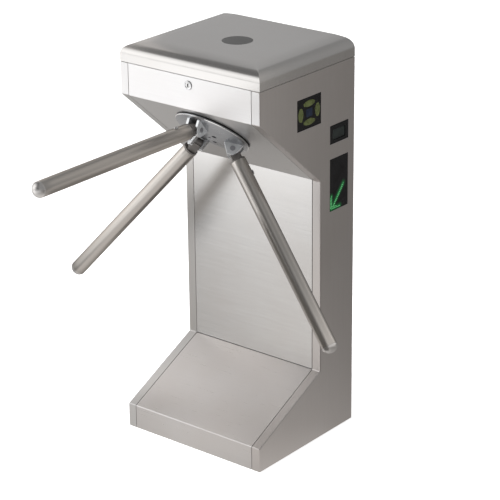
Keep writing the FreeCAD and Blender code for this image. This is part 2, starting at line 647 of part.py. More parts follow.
# ------------------------------------------------------------------ arms
# arm frame: X along the arm from its pivot, Y along the pivot pin, Z away from the hub centre
beta = math.radians(90 - slant)
sb_, cb_ = math.sin(beta), math.cos(beta)
ARM = Pl(V(0, DIM["pivot_rad"], DIM["pivot_h"]), Rot(V(0, sb_, cb_), V(1, 0, 0), V(0, cb_, -sb_), "XYZ"))
NAMES = ("top", "left", "right")
pins = []
tr, tw, a0, al = DIM["tube_rad"], DIM["tube_wall"], DIM["arm_start"], DIM["arm_len"]
for i, nm in enumerate(NAMES):
    PA = PM * Pl(V(0, 0, 0), Rot(V(0, 0, 1), 120 * i)) * ARM
    PX = PA * Pl(V(0, 0, 0), Rot(V(0, 1, 0), 90))
    PY = PA * Pl(V(0, 0, 0), Rot(V(1, 0, 0), -90))
    kw, kh = DIM["knuckle_w"], DIM["knuckle_h"]
    blk = box(nm + "_block", 27, D("knuckle_w"), D("knuckle_h"), PA * Pl(V(0, -kw / 2, -kh / 2), Rot()))
    eye = cyl(nm + "_eye", 10, D("knuckle_w"), PY * Pl(V(0, 0, -kw / 2), Rot()))
    collar = cyl(nm + "_collar", tr - 0.6, 4, PX * Pl(V(0, 0, a0 - 4), Rot()))
    spig = cyl(nm + "_spigot", D("tube_rad") - D("tube_wall"), 44, PX * Pl(V(0, 0, a0 - 1), Rot()))
    bore = cyl(nm + "_pin_bore", D("pin_rad") + D("run_clear"), 60, PY * Pl(V(0, 0, -30), Rot()))
    tap = cyl(nm + "_screw_tap", 3, 20, PA * Pl(V(68, 0, 8), Rot()))
    node(cut(nm + "_knuckle_cut", fuse(nm + "_knuckle_solid", [blk, eye, collar, spig]), fuse(nm + "_knuckle_tools", [bore, tap])), nm + "_arm_knuckle")
    b = new_body(nm + "_tube")
    sk = new_sketch(b, nm + "_tube_section")
    circle(sk, 0, 0, D("tube_rad"))
    circle(sk, 0, 0, D("tube_rad") - D("tube_wall"))
    pad(b, sk, D("arm_len") - D("arm_start") - D("cap_len"))
    b.Placement = PX * Pl(V(0, 0, a0), Rot())
    sh = cyl(nm + "_screw_hole", 3, 20, PA * Pl(V(68, 0, 8), Rot()))
    node(cut(nm + "_tube_cut", b, sh), nm + "_arm_tube")
    b = new_body(nm + "_cap")
    sk = new_sketch(b, nm + "_cap_profile", "XZ_Plane")
    c0 = DIM["cap_len"]
    seq = [(0, -14), (tr - tw, -14), (tr - tw, 0), (tr, 0), (tr, 3.5)]
    for k in range(len(seq) - 1):
        sk.addGeometry(Part.LineSegment(V(*seq[k], 0), V(*seq[k + 1], 0)))
    # the dome is part of a ball centred on the tube's axis
    ball = (tr ** 2 + (c0 - 3.5) ** 2) / (2 * (c0 - 3.5))
    m_ = 0.5 * math.asin(tr / ball)
    sk.addGeometry(Part.Arc(V(tr, 3.5, 0), V(ball * math.sin(m_), c0 - ball + ball * math.cos(m_), 0), V(0, c0, 0)))
    sk.addGeometry(Part.LineSegment(V(0, c0, 0), V(0, -14, 0)))
    revolve(b, sk)
    b.Placement = PX * Pl(V(0, 0, al - c0), Rot())
    node(b, nm + "_arm_cap")
    PZ = PA * Pl(V(68, 0, 0), Rot())
    node(round_part(nm + "_arm_screw", [(0, 9), (3, 9), (3, tr), (5.5, tr), (5.5, tr + 1.2), (4.4, tr + 2.6), (2.4, tr + 2.6), (2.4, tr + 1.0), (0, tr + 1.0)], PZ), nm + "_arm_screw")
    half = DIM["ear_gap"] / 2 + DIM["ear_thk"]
    pr_ = DIM["pin_rad"]
    pins.append(round_part(nm + "_pivot_pin", [(0, -half - 1.0), (pr_ + 0.8, -half - 1.0), (pr_ + 1.3, -half - 0.4), (pr_ + 1.3, -half), (pr_, -half), (pr_, half),
                                               (pr_ + 1.3, half), (pr_ + 1.3, half + 0.4), (pr_ + 0.8, half + 1.0), (0, half + 1.0)], PY))
node(group("pivot_pin_set", pins), "pivot_pins")

# ------------------------------------------------------------------ mechanism, in the hub frame


def at(x, y, z):
    return PM * Pl(V(x, y, z), Rot())


DETENT = V(58, 50, 0)
SPRING_POST = V(86, 90, 0)
E_SOL = V(math.cos(math.radians(330)), math.sin(math.radians(330)), 0)
T_SOL = V(E_SOL.y, -E_SOL.x, 0)
PAWL = E_SOL * 66 + T_SOL * 45
SOL_POST = E_SOL * 112
REL = (V(42, 73, 0), V(-42, -73, 0))
centre_dist = DIM["gear_module"] * (DIM["gear_teeth"] + DIM["pinion_teeth"]) / 2 + DIM["mesh_slack"]
PINION = V(-centre_dist, 0, 0)

mt = DIM["mech_thk"]
mp = box("mech_base", W2 * 2 - T * 2, 205, D("mech_thk"), at(-num(W2) + 2, -110, -16))
hole = cyl("mech_hole", 20, 40, at(0, 0, -30))
wl = box("mech_wing_l", 4, 205, 32, at(-num(W2) + 2, -110, -40))
wr = box("mech_wing_r", 4, 205, 32, at(num(W2) - 6, -110, -40))
studs = [cyl("detent_stud", 5, 93, at(DETENT.x, DETENT.y, -109)),
         cyl("spring_stud", 4, 94, at(SPRING_POST.x, SPRING_POST.y, -110)),
         cyl("pawl_stud", 5, 102, at(PAWL.x, PAWL.y, -118)),
         cyl("solenoid_stud", 9, 80, at(SOL_POST.x, SOL_POST.y, -96))]
studs += [cyl("release_stud_%d" % k, 6, 118, at(p.x, p.y, -134)) for k, p in enumerate(REL)]
node(cut("mech_cut", fuse("mech_solid", [mp, wl, wr] + studs), hole), "mechanism_plate")

br, sr = DIM["bearing_rad"], DIM["shaft_rad"]
hb, hf = DIM["housing_rad"], DIM["housing_flange"]
node(round_part("bearing_housing", [(24, -66), (24, -30), (br, -30), (br, -16), (hf, -16), (hf, -24), (hb + 3, -24), (hb, -27), (hb, -80), (br, -80), (br, -66)], PM), "bearing_housing")
brg = []
for k, z in enumerate((-30, -80)):
    brg.append(round_part("shaft_bearing_%d" % (k + 1), [(sr + DIM["run_clear"], z), (br, z), (br, z + 14), (sr + DIM["run_clear"], z + 14)], PM))
node(group("bearing_set", brg), "shaft_bearings")
node(round_part("main_shaft", [(5, -130), (sr - 1, -130), (sr, -129), (sr, -6), (6.2, -6), (6.2, -40), (0, -40), (0, -48), (5, -48)], PM), "main_shaft")


def gear_outline(teeth, m, phase, thin):
    """Involute outline of a spur gear; thin takes a little off each flank as backlash."""
    rp = m * teeth / 2.0
    pa = math.radians(20)
    rb, ra, rf = rp * math.cos(pa), rp + 0.95 * m, rp - 1.25 * m
    inv = lambda r: math.sqrt(max((r / rb) ** 2 - 1, 0)) - math.atan(math.sqrt(max((r / rb) ** 2 - 1, 0)))
    half = math.pi / (2 * teeth) + inv(rp) - thin / rp
    radii = [max(rb, rf + 0.2), rp - 0.5 * m, rp, rp + 0.5 * m, ra]
    radii = sorted(r for r in radii if r >= rb - 1e-9)
    pts = []
    for k in range(teeth):
        mid = phase + 2 * math.pi * k / teeth
        step = math.pi / teeth
        lo = half - inv(radii[0])
        pts.append((rf, mid - step * 0.98))
        pts.append((rf, mid - lo - 0.01))
        pts += [(r, mid - (half - inv(r))) for r in radii]
        pts += [(r, mid + (half - inv(r))) for r in reversed(radii)]
        pts.append((rf, mid + lo + 0.01))
    return [V(r * math.cos(a), r * math.sin(a), 0) for r, a in pts]


def gear_solid(teeth, phase, z0, thick, bore, sleeves):
    pts = gear_outline(teeth, DIM["gear_module"], phase, 0.12)
    face = Part.Face(Part.makePolygon(pts + [pts[0]]))
    s = face.extrude(V(0, 0, thick))
    s.translate(V(0, 0, z0))
    for r, lo, hi in sleeves:
        s = s.fuse(Part.makeCylinder(r, hi - lo, V(0, 0, lo)))
    if bore:
        s = s.cut(Part.makeCylinder(bore, 200, V(0, 0, z0 - 100)))
    return s.removeSplitter()


gt = DIM["gear_thk"]
o = doc.addObject("Part::Feature", "hub_gear")
s = gear_solid(int(DIM["gear_teeth"]), 0.0, -92, gt, sr, [(21, -96, -81)])
for k in range(6):
    a = math.radians(30 + 60 * k)
    s = s.cut(Part.makeCylinder(9, 40, V(36 * math.cos(a), 36 * math.sin(a), -110)))
o.Shape = s
o.Placement = PM
node(o, "hub_gear")

o = doc.addObject("Part::Feature", "damper_pinion")
s = gear_solid(int(DIM["pinion_teeth"]), math.pi / DIM["pinion_teeth"], -92, gt, 0, [(9, -95, -81), (5, -81, -50)])
o.Shape = s
o.Placement = at(PINION.x, PINION.y, 0)
node(o, "damper_pinion")
node(round_part("rotary_damper", [(5 + DIM["run_clear"], -78), (12, -78), (12, -74), (23, -74), (24, -73), (24, -22), (28, -22), (28, -16), (0, -16), (0, -48), (5 + DIM["run_clear"], -48)],
                at(PINION.x, PINION.y, 0)), "rotary_damper")

# index cam: round disc with three hollows, one for each arm's home position
b = new_body("index_cam_disc")
sk = new_sketch(b, "cam_section")
circle(sk, 0, 0, D("cam_rad"))
circle(sk, 0, 0, D("shaft_rad"))
pad(b, sk, 8)
sk = new_sketch(b, "cam_hub_section", off=-4)
circle(sk, 0, 0, 21)
circle(sk, 0, 0, D("shaft_rad"))
pad(b, sk, 5)
b.Placement = at(0, 0, -104)
hollows = []
for k in range(3):
    a = math.radians(90 + 120 * k)
    hollows.append(cyl("cam_hollow_%d" % k, 15, 12, at(53 * math.cos(a), 53 * math.sin(a), -106)))
node(cut("index_cam_cut", b, fuse("cam_hollows", hollows)), "index_cam")

b = new_body("lock_wheel_disc")
sk = new_sketch(b, "lock_wheel_section")
circle(sk, 0, 0, D("lock_wheel_rad"))
circle(sk, 0, 0, D("shaft_rad"))
pad(b, sk, 8)
b.Placement = at(0, 0, -116)
slots = []
for k in range(12):
    slots.append(box("wheel_slot_%d" % k, D("slot_depth") + 6, D("slot_w"), 12,
                     PM * Pl(V(0, 0, 0), Rot(V(0, 0, 1), 30 * k)) * Pl(V(DIM["lock_wheel_rad"] - DIM["slot_depth"], -DIM["slot_w"] / 2, -118), Rot())))
node(cut("lock_wheel_cut", b, fuse("wheel_slots", slots)), "lock_wheel")

# detent: lever on its stud, roller over the cam, spring on the lever's tail
rr = DIM["roller_rad"]
RC = V(0, DIM["cam_rad"] + rr + 0.6, 0)
d = RC - DETENT
ang = math.degrees(math.atan2(d.y, d.x))
b = new_body("detent_bar")
sk = new_sketch(b, "detent_outline")
Ld = d.Length
rounded(sk, [(-38, -5, 4), (0, -9, 6), (Ld + 6, -6, 5), (Ld + 6, 6, 5), (0, 9, 6), (-38, 5, 4)])
circle(sk, 0, 0, 5 + DIM["run_clear"])
circle(sk, -28, 0, 1.8)
pad(b, sk, 2.5)
LEV = at(DETENT.x, DETENT.y, 0) * Pl(V(0, 0, 0), Rot(V(0, 0, 1), ang))
b.Placement = LEV * Pl(V(0, 0, -107.2), Rot())
pin = cyl("roller_pin", 3, 9.6, at(RC.x, RC.y, -104.9))
node(fuse("detent_lever_solid", [b, pin]), "detent_lever")
node(round_part("detent_roller", [(3 + DIM["run_clear"], -103.8), (rr - 0.8, -103.8), (rr, -103), (rr, -97), (rr - 0.8, -96.2), (3 + DIM["run_clear"], -96.2)], at(RC.x, RC.y, 0)), "detent_roller")
tail_row = LEV.multVec(V(-28, 0, -106))
post_row = at(SPRING_POST.x, SPRING_POST.y, 0).multVec(V(0, 0, -106))
axis = post_row - tail_row
helix = Part.makeHelix(3.2, axis.Length - 12.6, 4.2)
prof = Part.Wire([Part.makeCircle(0.8, V(4.2, 0, 0), V(0, 1, 0))])
coil = Part.Wire(helix.Edges).makePipeShell([prof], True, True)
o = doc.addObject("Part::Feature", "detent_spring")
o.Shape = coil if coil.ShapeType == "Solid" else Part.Solid(coil)
dirn = V(axis).normalize()
o.Placement = Pl(tail_row + dirn * 6.4, Rot(V(0, 0, 1), dirn))
node(o, "detent_spring")

# lock pawl and its solenoid
b = new_body("pawl_bar")
# a bar that stands clear of the wheel, with a nose at its end for the slots
toP = lambda u, v: ((u - 66) * E_SOL + (v - 45) * T_SOL)
outline = [(71, 53, 5), (61, 53, 5), (61, 2), (52.2, 1), (52.2, -4.2), (61.5, -5.4), (71, -6, 3)]
sk = new_sketch(b, "pawl_outline")
rounded(sk, [(toP(p[0], p[1]).x, toP(p[0], p[1]).y) + tuple(p[2:]) for p in outline])
circle(sk, 0, 0, 5 + DIM["run_clear"])
pad(b, sk, 7)
eye = cyl("pawl_eye", 9, 7, at(PAWL.x, PAWL.y, -115.5))
bore = cyl("pawl_bore", 5 + DIM["run_clear"], 20, at(PAWL.x, PAWL.y, -122))
b.Placement = at(PAWL.x, PAWL.y, -115.5)
node(cut("lock_pawl_cut", fuse("lock_pawl_solid", [b, eye]), bore), "lock_pawl")

# solenoid frame: local Z runs outwards along the plunger
PS = PM * Pl(V(0, 0, -112), Rot(V(0, 0, 1), 330)) * Pl(V(0, 0, 0), Rot(V(0, 1, 0), 90))
body_ = box("solenoid_frame", 32, 32, 45, PS * Pl(V(-16, -16, 90), Rot()))
bore = cyl("solenoid_bore", D("plunger_rad") + 0.08, 36, PS * Pl(V(0, 0, 88), Rot()))
node(cut("solenoid_cut", body_, bore), "lock_solenoid")
node(round_part("solenoid_plunger", [(0, 71.5), (2.4, 71.5), (3.2, 72.3), (3.2, 78), (DIM["plunger_rad"], 79), (DIM["plunger_rad"], 112), (0, 112)], PS), "solenoid_plunger")

# release solenoid behind the shaft, with the rod that runs through it
rs = round_part("release_core", [(DIM["rod_rad"] + 0.08, -140), (20, -140), (20, -164), (19, -165), (DIM["rod_rad"] + 0.08, -165)], PM)
bar_l = math.hypot(42, 73) * 2
bar = box("release_bar", bar_l + 16, 18, 6, PM * Pl(V(0, 0, 0), Rot(V(0, 0, 1), math.degrees(math.atan2(73, 42)))) * Pl(V(-bar_l / 2 - 8, -9, -140), Rot()))
bh = cyl("release_bar_hole", D("rod_rad") + 0.08, 20, at(0, 0, -148))
node(cut("release_cut", fuse("release_solid", [rs, bar]), bh), "release_solenoid")
node(round_part("release_rod", [(0, -158), (DIM["rod_rad"], -158), (DIM["rod_rad"], -56), (DIM["rod_rad"] - 1, -55), (0, -55)], PM), "release_rod")

# ------------------------------------------------------------------ electronics in the column
b = new_body("electronics_tray")
sk = new_sketch(b, "tray_section")
polygon(sk, strip([(-209, 150), (-209, 130), (209, 130), (209, 150)], 2))
pad(b, sk, 330)
b.Placement = Pl(V(0, 0, 240), Rot())
node(b, "electronics_tray")
pcb = box("board", 180, 1.6, 130, Pl(V(-90, 138, 420), Rot()))
bits = [box("board_relay_%d" % k, 22, 16, 20, Pl(V(-80 + 30 * k, 139, 520), Rot())) for k in range(4)]
bits += [box("board_terminals", 150, 12, 10, Pl(V(-75, 139, 424), Rot())), box("board_chip", 24, 4, 24, Pl(V(-12, 139, 466), Rot()))]
bits += [cyl("board_post_%d" % k, 3, 6.5, Pl(V(x, 132, z), Rot(V(1, 0, 0), -90))) for k, (x, z) in enumerate(((-84, 426), (84, 426), (-84, 544), (84, 544)))]
node(fuse("control_board_solid", [pcb] + bits), "control_board")
psu = box("supply_case", 200, 40, 98, Pl(V(-100, 132, 270), Rot()))
lip = box("supply_terminals", 20, 14, 80, Pl(V(100, 132, 279), Rot()))
node(fuse("supply_solid", [psu, lip]), "power_supply")

doc.recompute()

# ------------------------------------------------------------------ checks and files
for o in doc.Objects:
    if "Invalid" in o.State or "Error" in o.State:
        raise RuntimeError("failed object: %s %s" % (o.Name, o.State))
seen = set()
for label, o in NODES:
    if label in seen:
        raise RuntimeError("label used twice: " + label)
    seen.add(label)
    s = o.Shape
    if s.isNull() or not s.isValid() or not s.Solids:
        raise RuntimeError("bad shape: " + label)
for f in os.listdir("parts"):
    if f.endswith(".step") and f[:-5] not in seen:
        os.remove(os.path.join("parts", f))
for label, o in NODES:
    o.Shape.exportStep("parts/%s.step" % label)
    print("%-22s solids %2d  volume %9.0f mm3" % (label, len(o.Shape.Solids), o.Shape.Volume))
print(len(NODES), "nodes; hub centre", hub_c, "slant %.4f deg" % slant)
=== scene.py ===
import json
import math

import bmesh
import bpy
import numpy as np
from mathutils import Matrix, Vector


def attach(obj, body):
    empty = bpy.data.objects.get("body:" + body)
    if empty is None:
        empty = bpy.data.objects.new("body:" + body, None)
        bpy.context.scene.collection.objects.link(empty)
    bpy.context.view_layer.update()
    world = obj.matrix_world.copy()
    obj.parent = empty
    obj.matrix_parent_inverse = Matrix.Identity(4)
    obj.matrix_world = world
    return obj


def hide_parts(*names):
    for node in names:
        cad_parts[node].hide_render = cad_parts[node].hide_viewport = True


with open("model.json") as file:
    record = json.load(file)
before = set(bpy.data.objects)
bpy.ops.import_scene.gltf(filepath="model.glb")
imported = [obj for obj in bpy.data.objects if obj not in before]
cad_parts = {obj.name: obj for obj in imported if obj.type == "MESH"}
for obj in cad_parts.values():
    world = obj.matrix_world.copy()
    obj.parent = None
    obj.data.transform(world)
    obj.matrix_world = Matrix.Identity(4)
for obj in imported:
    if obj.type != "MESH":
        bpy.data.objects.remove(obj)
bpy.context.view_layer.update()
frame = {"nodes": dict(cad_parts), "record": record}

NODES = frame["nodes"]
RECORD = frame["record"]
BODY = {n: b for b, ns in RECORD["behaviour"]["bodies"].items() for n in ns}
SCENE = bpy.context.scene
MM = 0.001

# ------------------------------------------------------------------ frames of the object
SLANT = math.atan2(875 - 676, 54 + 176)
SU, CU = math.sin(SLANT), math.cos(SLANT)
HUB_C = Vector((0, -176 + 0.374 * 230, 875 - 0.374 * 199)) * MM
EX = Vector((1, 0, 0))
EU = Vector((0, -CU, SU))  # up the slanted face
EA = Vector((0, -SU, -CU))  # out of the slanted face


def basis(origin, x, y, z):
    m = Matrix.Identity(4)
    for i, v in enumerate((x, y, z)):
        for r in range(3):
            m[r][i] = v[r]
    for r in range(3):
        m[r][3] = origin[r]
    return m


HUB = basis(HUB_C, EX, EU, EA)


def arm_frame(i):
    """X along the arm from its pivot, Y along the pivot pin, Z away from the hub's middle."""
    th = math.radians(90 + 120 * i)
    rad = EX * math.cos(th) + EU * math.sin(th)
    tan = EA.cross(rad)
    beta = math.pi / 2 - SLANT
    along = rad * math.sin(beta) + EA * math.cos(beta)
    pin = -tan
    out = along.cross(pin)
    return basis(HUB_C + rad * 63 * MM + EA * 25 * MM, along, pin, out)


# ------------------------------------------------------------------ material tools
class Mat:
    """A node material with one principled shader and a few wiring helpers."""

    def __init__(self, name, **values):
        self.m = bpy.data.materials.new(name)
        self.m.use_nodes = True
        self.t = self.m.node_tree
        self.b = self.t.nodes["Principled BSDF"]
        for k, v in values.items():
            self.set(k.replace("_", " "), v)

    def set(self, socket, value):
        s = self.b.inputs[socket]
        if hasattr(s.default_value, "__len__") and not isinstance(value, str):
            v = tuple(value)
            s.default_value = v + (1.0,) if len(v) == 3 and len(s.default_value) == 4 else v
        else:
            s.default_value = value

    def n(self, kind, **props):
        node = self.t.nodes.new("ShaderNode" + kind)
        for k, v in props.items():
            setattr(node, k, v)
        return node

    def link(self, a, b):
        self.t.links.new(a, b)

    def coords(self, scale, out="Object"):
        tc = self.n("TexCoord")
        mp = self.n("Mapping")
        mp.inputs["Scale"].default_value = scale
        self.link(tc.outputs[out], mp.inputs["Vector"])
        return mp.outputs["Vector"]

    def noise(self, vec, detail=2.0, rough=0.5, scale=1.0):
        nz = self.n("TexNoise")
        nz.inputs["Scale"].default_value = scale
        nz.inputs["Detail"].default_value = detail
        nz.inputs["Roughness"].default_value = rough
        self.link(vec, nz.inputs["Vector"])
        return nz.outputs["Fac"]

    def span(self, fac, lo, hi, a=0.0, b=1.0):
        mr = self.n("MapRange")
        mr.inputs["From Min"].default_value = a
        mr.inputs["From Max"].default_value = b
        mr.inputs["To Min"].default_value = lo
        mr.inputs["To Max"].default_value = hi
        self.link(fac, mr.inputs["Value"])
        return mr.outputs["Result"]

    def mix(self, fac, a, b):
        mx = self.n("Mix", data_type="RGBA")
        for key, v in (("A", a), ("B", b)):
            s = [i for i in mx.inputs if i.name == key and i.type == "RGBA"][0]
            if isinstance(v, bpy.types.NodeSocket):
                self.link(v, s)
            else:
                s.default_value = tuple(v) + (1.0,)
        f = [i for i in mx.inputs if i.name == "Factor" and i.type == "VALUE"][0]
        if isinstance(fac, bpy.types.NodeSocket):
            self.link(fac, f)
        else:
            f.default_value = fac
        return [o for o in mx.outputs if o.type == "RGBA"][0]

    def math(self, op, a, b=0.0):
        mt = self.n("Math", operation=op)
        for i, v in enumerate((a, b)):
            if isinstance(v, bpy.types.NodeSocket):
                self.link(v, mt.inputs[i])
            else:
                mt.inputs[i].default_value = v
        return mt.outputs[0]

    def bump(self, height, strength, distance):
        bp = self.n("Bump")
        bp.inputs["Strength"].default_value = strength
        bp.inputs["Distance"].default_value = distance
        self.link(height, bp.inputs["Height"])
        self.link(bp.outputs["Normal"], self.b.inputs["Normal"])

    def tangent(self):
        tg = self.n("Tangent", direction_type="UV_MAP", uv_map="grain")
        self.link(tg.outputs["Tangent"], self.b.inputs["Tangent"])


def brushed(name, color, rough=0.3, aniso=0.55, fine=900.0, along=14.0, tint=0.05, bump=0.03, cloud=0.03, edge=None, vary=1.0):
    """Brushed sheet or tube: grain runs along V of the grain map, which is in metres."""
    m = Mat(name, Metallic=1.0, Anisotropic=aniso)
    if edge:
        m.set("Specular Tint", edge)
    c = Vector(color)
    g1 = m.noise(m.coords((fine, along, 1.0), "UV"), 3.0, 0.6)
    g2 = m.noise(m.coords((fine * 0.16, along * 0.35, 1.0), "UV"), 2.0, 0.5)
    grain = m.math("ADD", m.math("MULTIPLY", g1, 0.6), m.math("MULTIPLY", g2, 0.4))
    clouds = m.noise(m.coords((5.5, 5.5, 5.5)), 3.0, 0.55)
    base = m.mix(m.span(grain, 0.0, 1.0, 0.25, 0.75), c * (1 - tint), c * (1 + tint))
    warm = Vector((c[0] * (1 - cloud), c[1] * (1 - 1.35 * cloud), c[2] * (1 - 1.7 * cloud)))
    shade = m.mix(m.span(clouds, 0.0, 0.75, 0.35, 0.7), base, warm)
    m.link(shade, m.b.inputs["Base Color"])
    m.link(m.span(grain, rough - 0.05 * vary, rough + 0.06 * vary, 0.2, 0.8), m.b.inputs["Roughness"])
    m.tangent()
    if bump:
        m.bump(grain, bump, 0.0004)
    return m.m


def cast(name, color, rough, metallic=1.0, grain=260.0, bump=0.12, tint=0.08, spec=0.5):
    """Cast, moulded or coated surface with a fine even texture."""
    m = Mat(name, Metallic=metallic, **{"Specular_IOR_Level": spec})
    c = Vector(color)
    n1 = m.noise(m.coords((grain,) * 3), 4.0, 0.55)
    n2 = m.noise(m.coords((22.0,) * 3), 2.0, 0.5)
    m.link(m.mix(m.span(n2, 0.0, 1.0, 0.3, 0.7), c * (1 - tint), c * (1 + tint)), m.b.inputs["Base Color"])
    m.link(m.span(n1, max(rough - 0.06, 0.03), rough + 0.08, 0.25, 0.75), m.b.inputs["Roughness"])
    if bump:
        m.bump(n1, bump, 0.0006)
    return m.m


# ------------------------------------------------------------------ mesh tools
def link_object(name, mesh):
    o = bpy.data.objects.new(name, mesh)
    SCENE.collection.objects.link(o)
    return o


def settle(o, body, replaces=()):
    if replaces:
        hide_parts(*replaces)
    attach(o, body)
    return o


def poly_arrays(mesh):
    """Normals, centres and areas of the faces, and the face and vertex of each corner."""
    count = len(mesh.polygons)
    nrm, cen, ar = np.zeros(count * 3), np.zeros(count * 3), np.zeros(count)
    totals, lv = np.zeros(count, int), np.zeros(len(mesh.loops), int)
    mesh.polygons.foreach_get("normal", nrm)
    mesh.polygons.foreach_get("center", cen)
    mesh.polygons.foreach_get("area", ar)
    mesh.polygons.foreach_get("loop_total", totals)
    mesh.loops.foreach_get("vertex_index", lv)
    return nrm.reshape(-1, 3), cen.reshape(-1, 3), ar, np.repeat(np.arange(count), totals), lv


def unit(v):
    ln = np.linalg.norm(v, axis=1, keepdims=True)
    return v / np.maximum(ln, 1e-15)


def grain_map(mesh, grain):
    """UV map in metres: V along the grain, U across it, face by face."""
    uv = mesh.uv_layers.get("grain") or mesh.uv_layers.new(name="grain")
    nrm, cen, ar, lf, lv = poly_arrays(mesh)
    g = np.array(grain(nrm, cen), float)
    g = g - nrm * (g * nrm).sum(1, keepdims=True)
    weak = np.linalg.norm(g, axis=1) < 1e-4
    spare = np.cross(nrm, np.where(np.abs(nrm[:, :1]) < 0.7, [[1.0, 0, 0]], [[0, 1.0, 0]]))
    g[weak] = spare[weak]
    g = unit(g)
    a = np.cross(g, nrm)
    co = np.zeros(len(mesh.vertices) * 3)
    mesh.vertices.foreach_get("co", co)
    pts = co.reshape(-1, 3)[lv]
    out = np.stack([(pts * a[lf]).sum(1), (pts * g[lf]).sum(1)], 1)
    uv.data.foreach_set("uv", out.astype(np.float32).ravel())


def turned_map(mesh, frame_m, radius):
    """UV map of a turned piece: U round the axis, V along it, in metres."""
    uv = mesh.uv_layers.get("grain") or mesh.uv_layers.new(name="grain")
    nrm, cen, ar, lf, lv = poly_arrays(mesh)
    inv = np.array(frame_m.inverted())
    co = np.zeros(len(mesh.vertices) * 3)
    mesh.vertices.foreach_get("co", co)
    q = co.reshape(-1, 3) @ inv[:3, :3].T + inv[:3, 3]
    qc = cen @ inv[:3, :3].T + inv[:3, 3]
    th = np.arctan2(q[:, 1], q[:, 0])[lv]
    mid = np.arctan2(qc[:, 1], qc[:, 0])[lf]
    th = mid + (th - mid + math.pi) % (2 * math.pi) - math.pi
    out = np.stack([th * radius, q[lv][:, 2]], 1)
    uv.data.foreach_set("uv", out.astype(np.float32).ravel())


def along(*v):
    return lambda n, c: np.tile(np.array(v, float), (len(n), 1))


def by_face(pairs, default):
    """Grain that depends on which way a face looks: [(direction, grain)...]."""
    dirs = unit(np.array([d for d, g in pairs], float))
    grains = np.array([g for d, g in pairs] + [default], float)

    def pick(n, c):
        fit = np.abs(n @ dirs.T)
        best = fit.argmax(1)
        best[fit.max(1) <= 0.5] = len(pairs)
        return grains[best]

    return pick


def clean_copy(node):
    bm = bmesh.new()
    bm.from_mesh(NODES[node].data)
    bmesh.ops.remove_doubles(bm, verts=bm.verts, dist=3e-6)
    bmesh.ops.dissolve_degenerate(bm, edges=bm.edges, dist=1e-6)
    bmesh.ops.dissolve_limit(bm, angle_limit=math.radians(0.25), verts=bm.verts, edges=bm.edges)
    bmesh.ops.recalc_face_normals(bm, faces=bm.faces)
    return bm


def area_normals(mesh, limit=50.0):
    """Corner normals led by the largest face at each vertex, so flats stay flat beside their rounded edges."""
    nrm, cen, ar, lf, lv = poly_arrays(mesh)
    order = np.argsort(lv, kind="stable")
    count = np.bincount(lv, minlength=len(mesh.vertices))
    first = np.cumsum(count) - count
    c_i, s_i = count[lv[order]], first[lv[order]]
    i_ = np.repeat(np.arange(len(lv)), c_i)
    j_ = np.repeat(s_i, c_i) + np.arange(len(i_)) - np.repeat(np.cumsum(c_i) - c_i, c_i)
    fi, fj = lf[order[i_]], lf[order[j_]]
    w = np.where((nrm[fi] * nrm[fj]).sum(1) > math.cos(math.radians(limit)), ar[fj], 0.0)
    acc = np.stack([np.bincount(i_, weights=w * nrm[fj, k], minlength=len(lv)) for k in range(3)], 1)
    out = np.zeros((len(lv), 3))
    out[order] = np.where(np.linalg.norm(acc, axis=1, keepdims=True) > 1e-15, unit(acc), nrm[lf[order]])
    mesh.normals_split_custom_set(out.tolist())


def finish_mesh(name, bm, width=0.0, segs=3, sharp=35.0, weight=None):
    """Rounds the sharp edges of a bmesh and gives smooth, hard-edged normals."""
    mesh = bpy.data.meshes.new(name)
    if width:
        layer = bm.edges.layers.float.get("bevel_weight_edge") or bm.edges.layers.float.new("bevel_weight_edge")
        for e in bm.edges:
            w = 0.0
            if len(e.link_faces) == 2 and e.calc_face_angle(0.0) > math.radians(sharp):
                w = 1.0 if weight is None else weight(e)
            e[layer] = w
    for f in bm.faces:
        f.smooth = True
    bm.to_mesh(mesh)
    bm.free()
    o = link_object(name, mesh)
    if width:
        bv = o.modifiers.new("rounding", "BEVEL")
        bv.limit_method = "WEIGHT"
        bv.width = width
        bv.segments = segs
        bv.offset_type = "OFFSET"
        bv.use_clamp_overlap = True
        bv.miter_outer = "MITER_ARC"
    dg = bpy.context.evaluated_depsgraph_get()
    baked = bpy.data.meshes.new_from_object(o.evaluated_get(dg), preserve_all_data_layers=True, depsgraph=dg)
    baked.name = name
    o.modifiers.clear()
    o.data = baked
    bpy.data.meshes.remove(mesh)
    o.data.shade_smooth()
    if width:
        area_normals(o.data)
    else:
        o.data.set_sharp_from_angle(angle=math.radians(sharp))
    return o


def skin(node, material, width=0.0006, segs=2, sharp=35.0, weight=None, grain=None, name=None, edit=None):
    """A finished copy of a CAD node's shape, with rounded edges and a grain map."""
    bm = clean_copy(node)
    if edit:
        edit(bm)
    o = finish_mesh(name or node + "_skin", bm, width, segs, sharp, weight)
    o.data.materials.clear()
    o.data.materials.append(material)
    grain_map(o.data, grain or along(1, 0, 0))
    return settle(o, BODY[node], (node,))


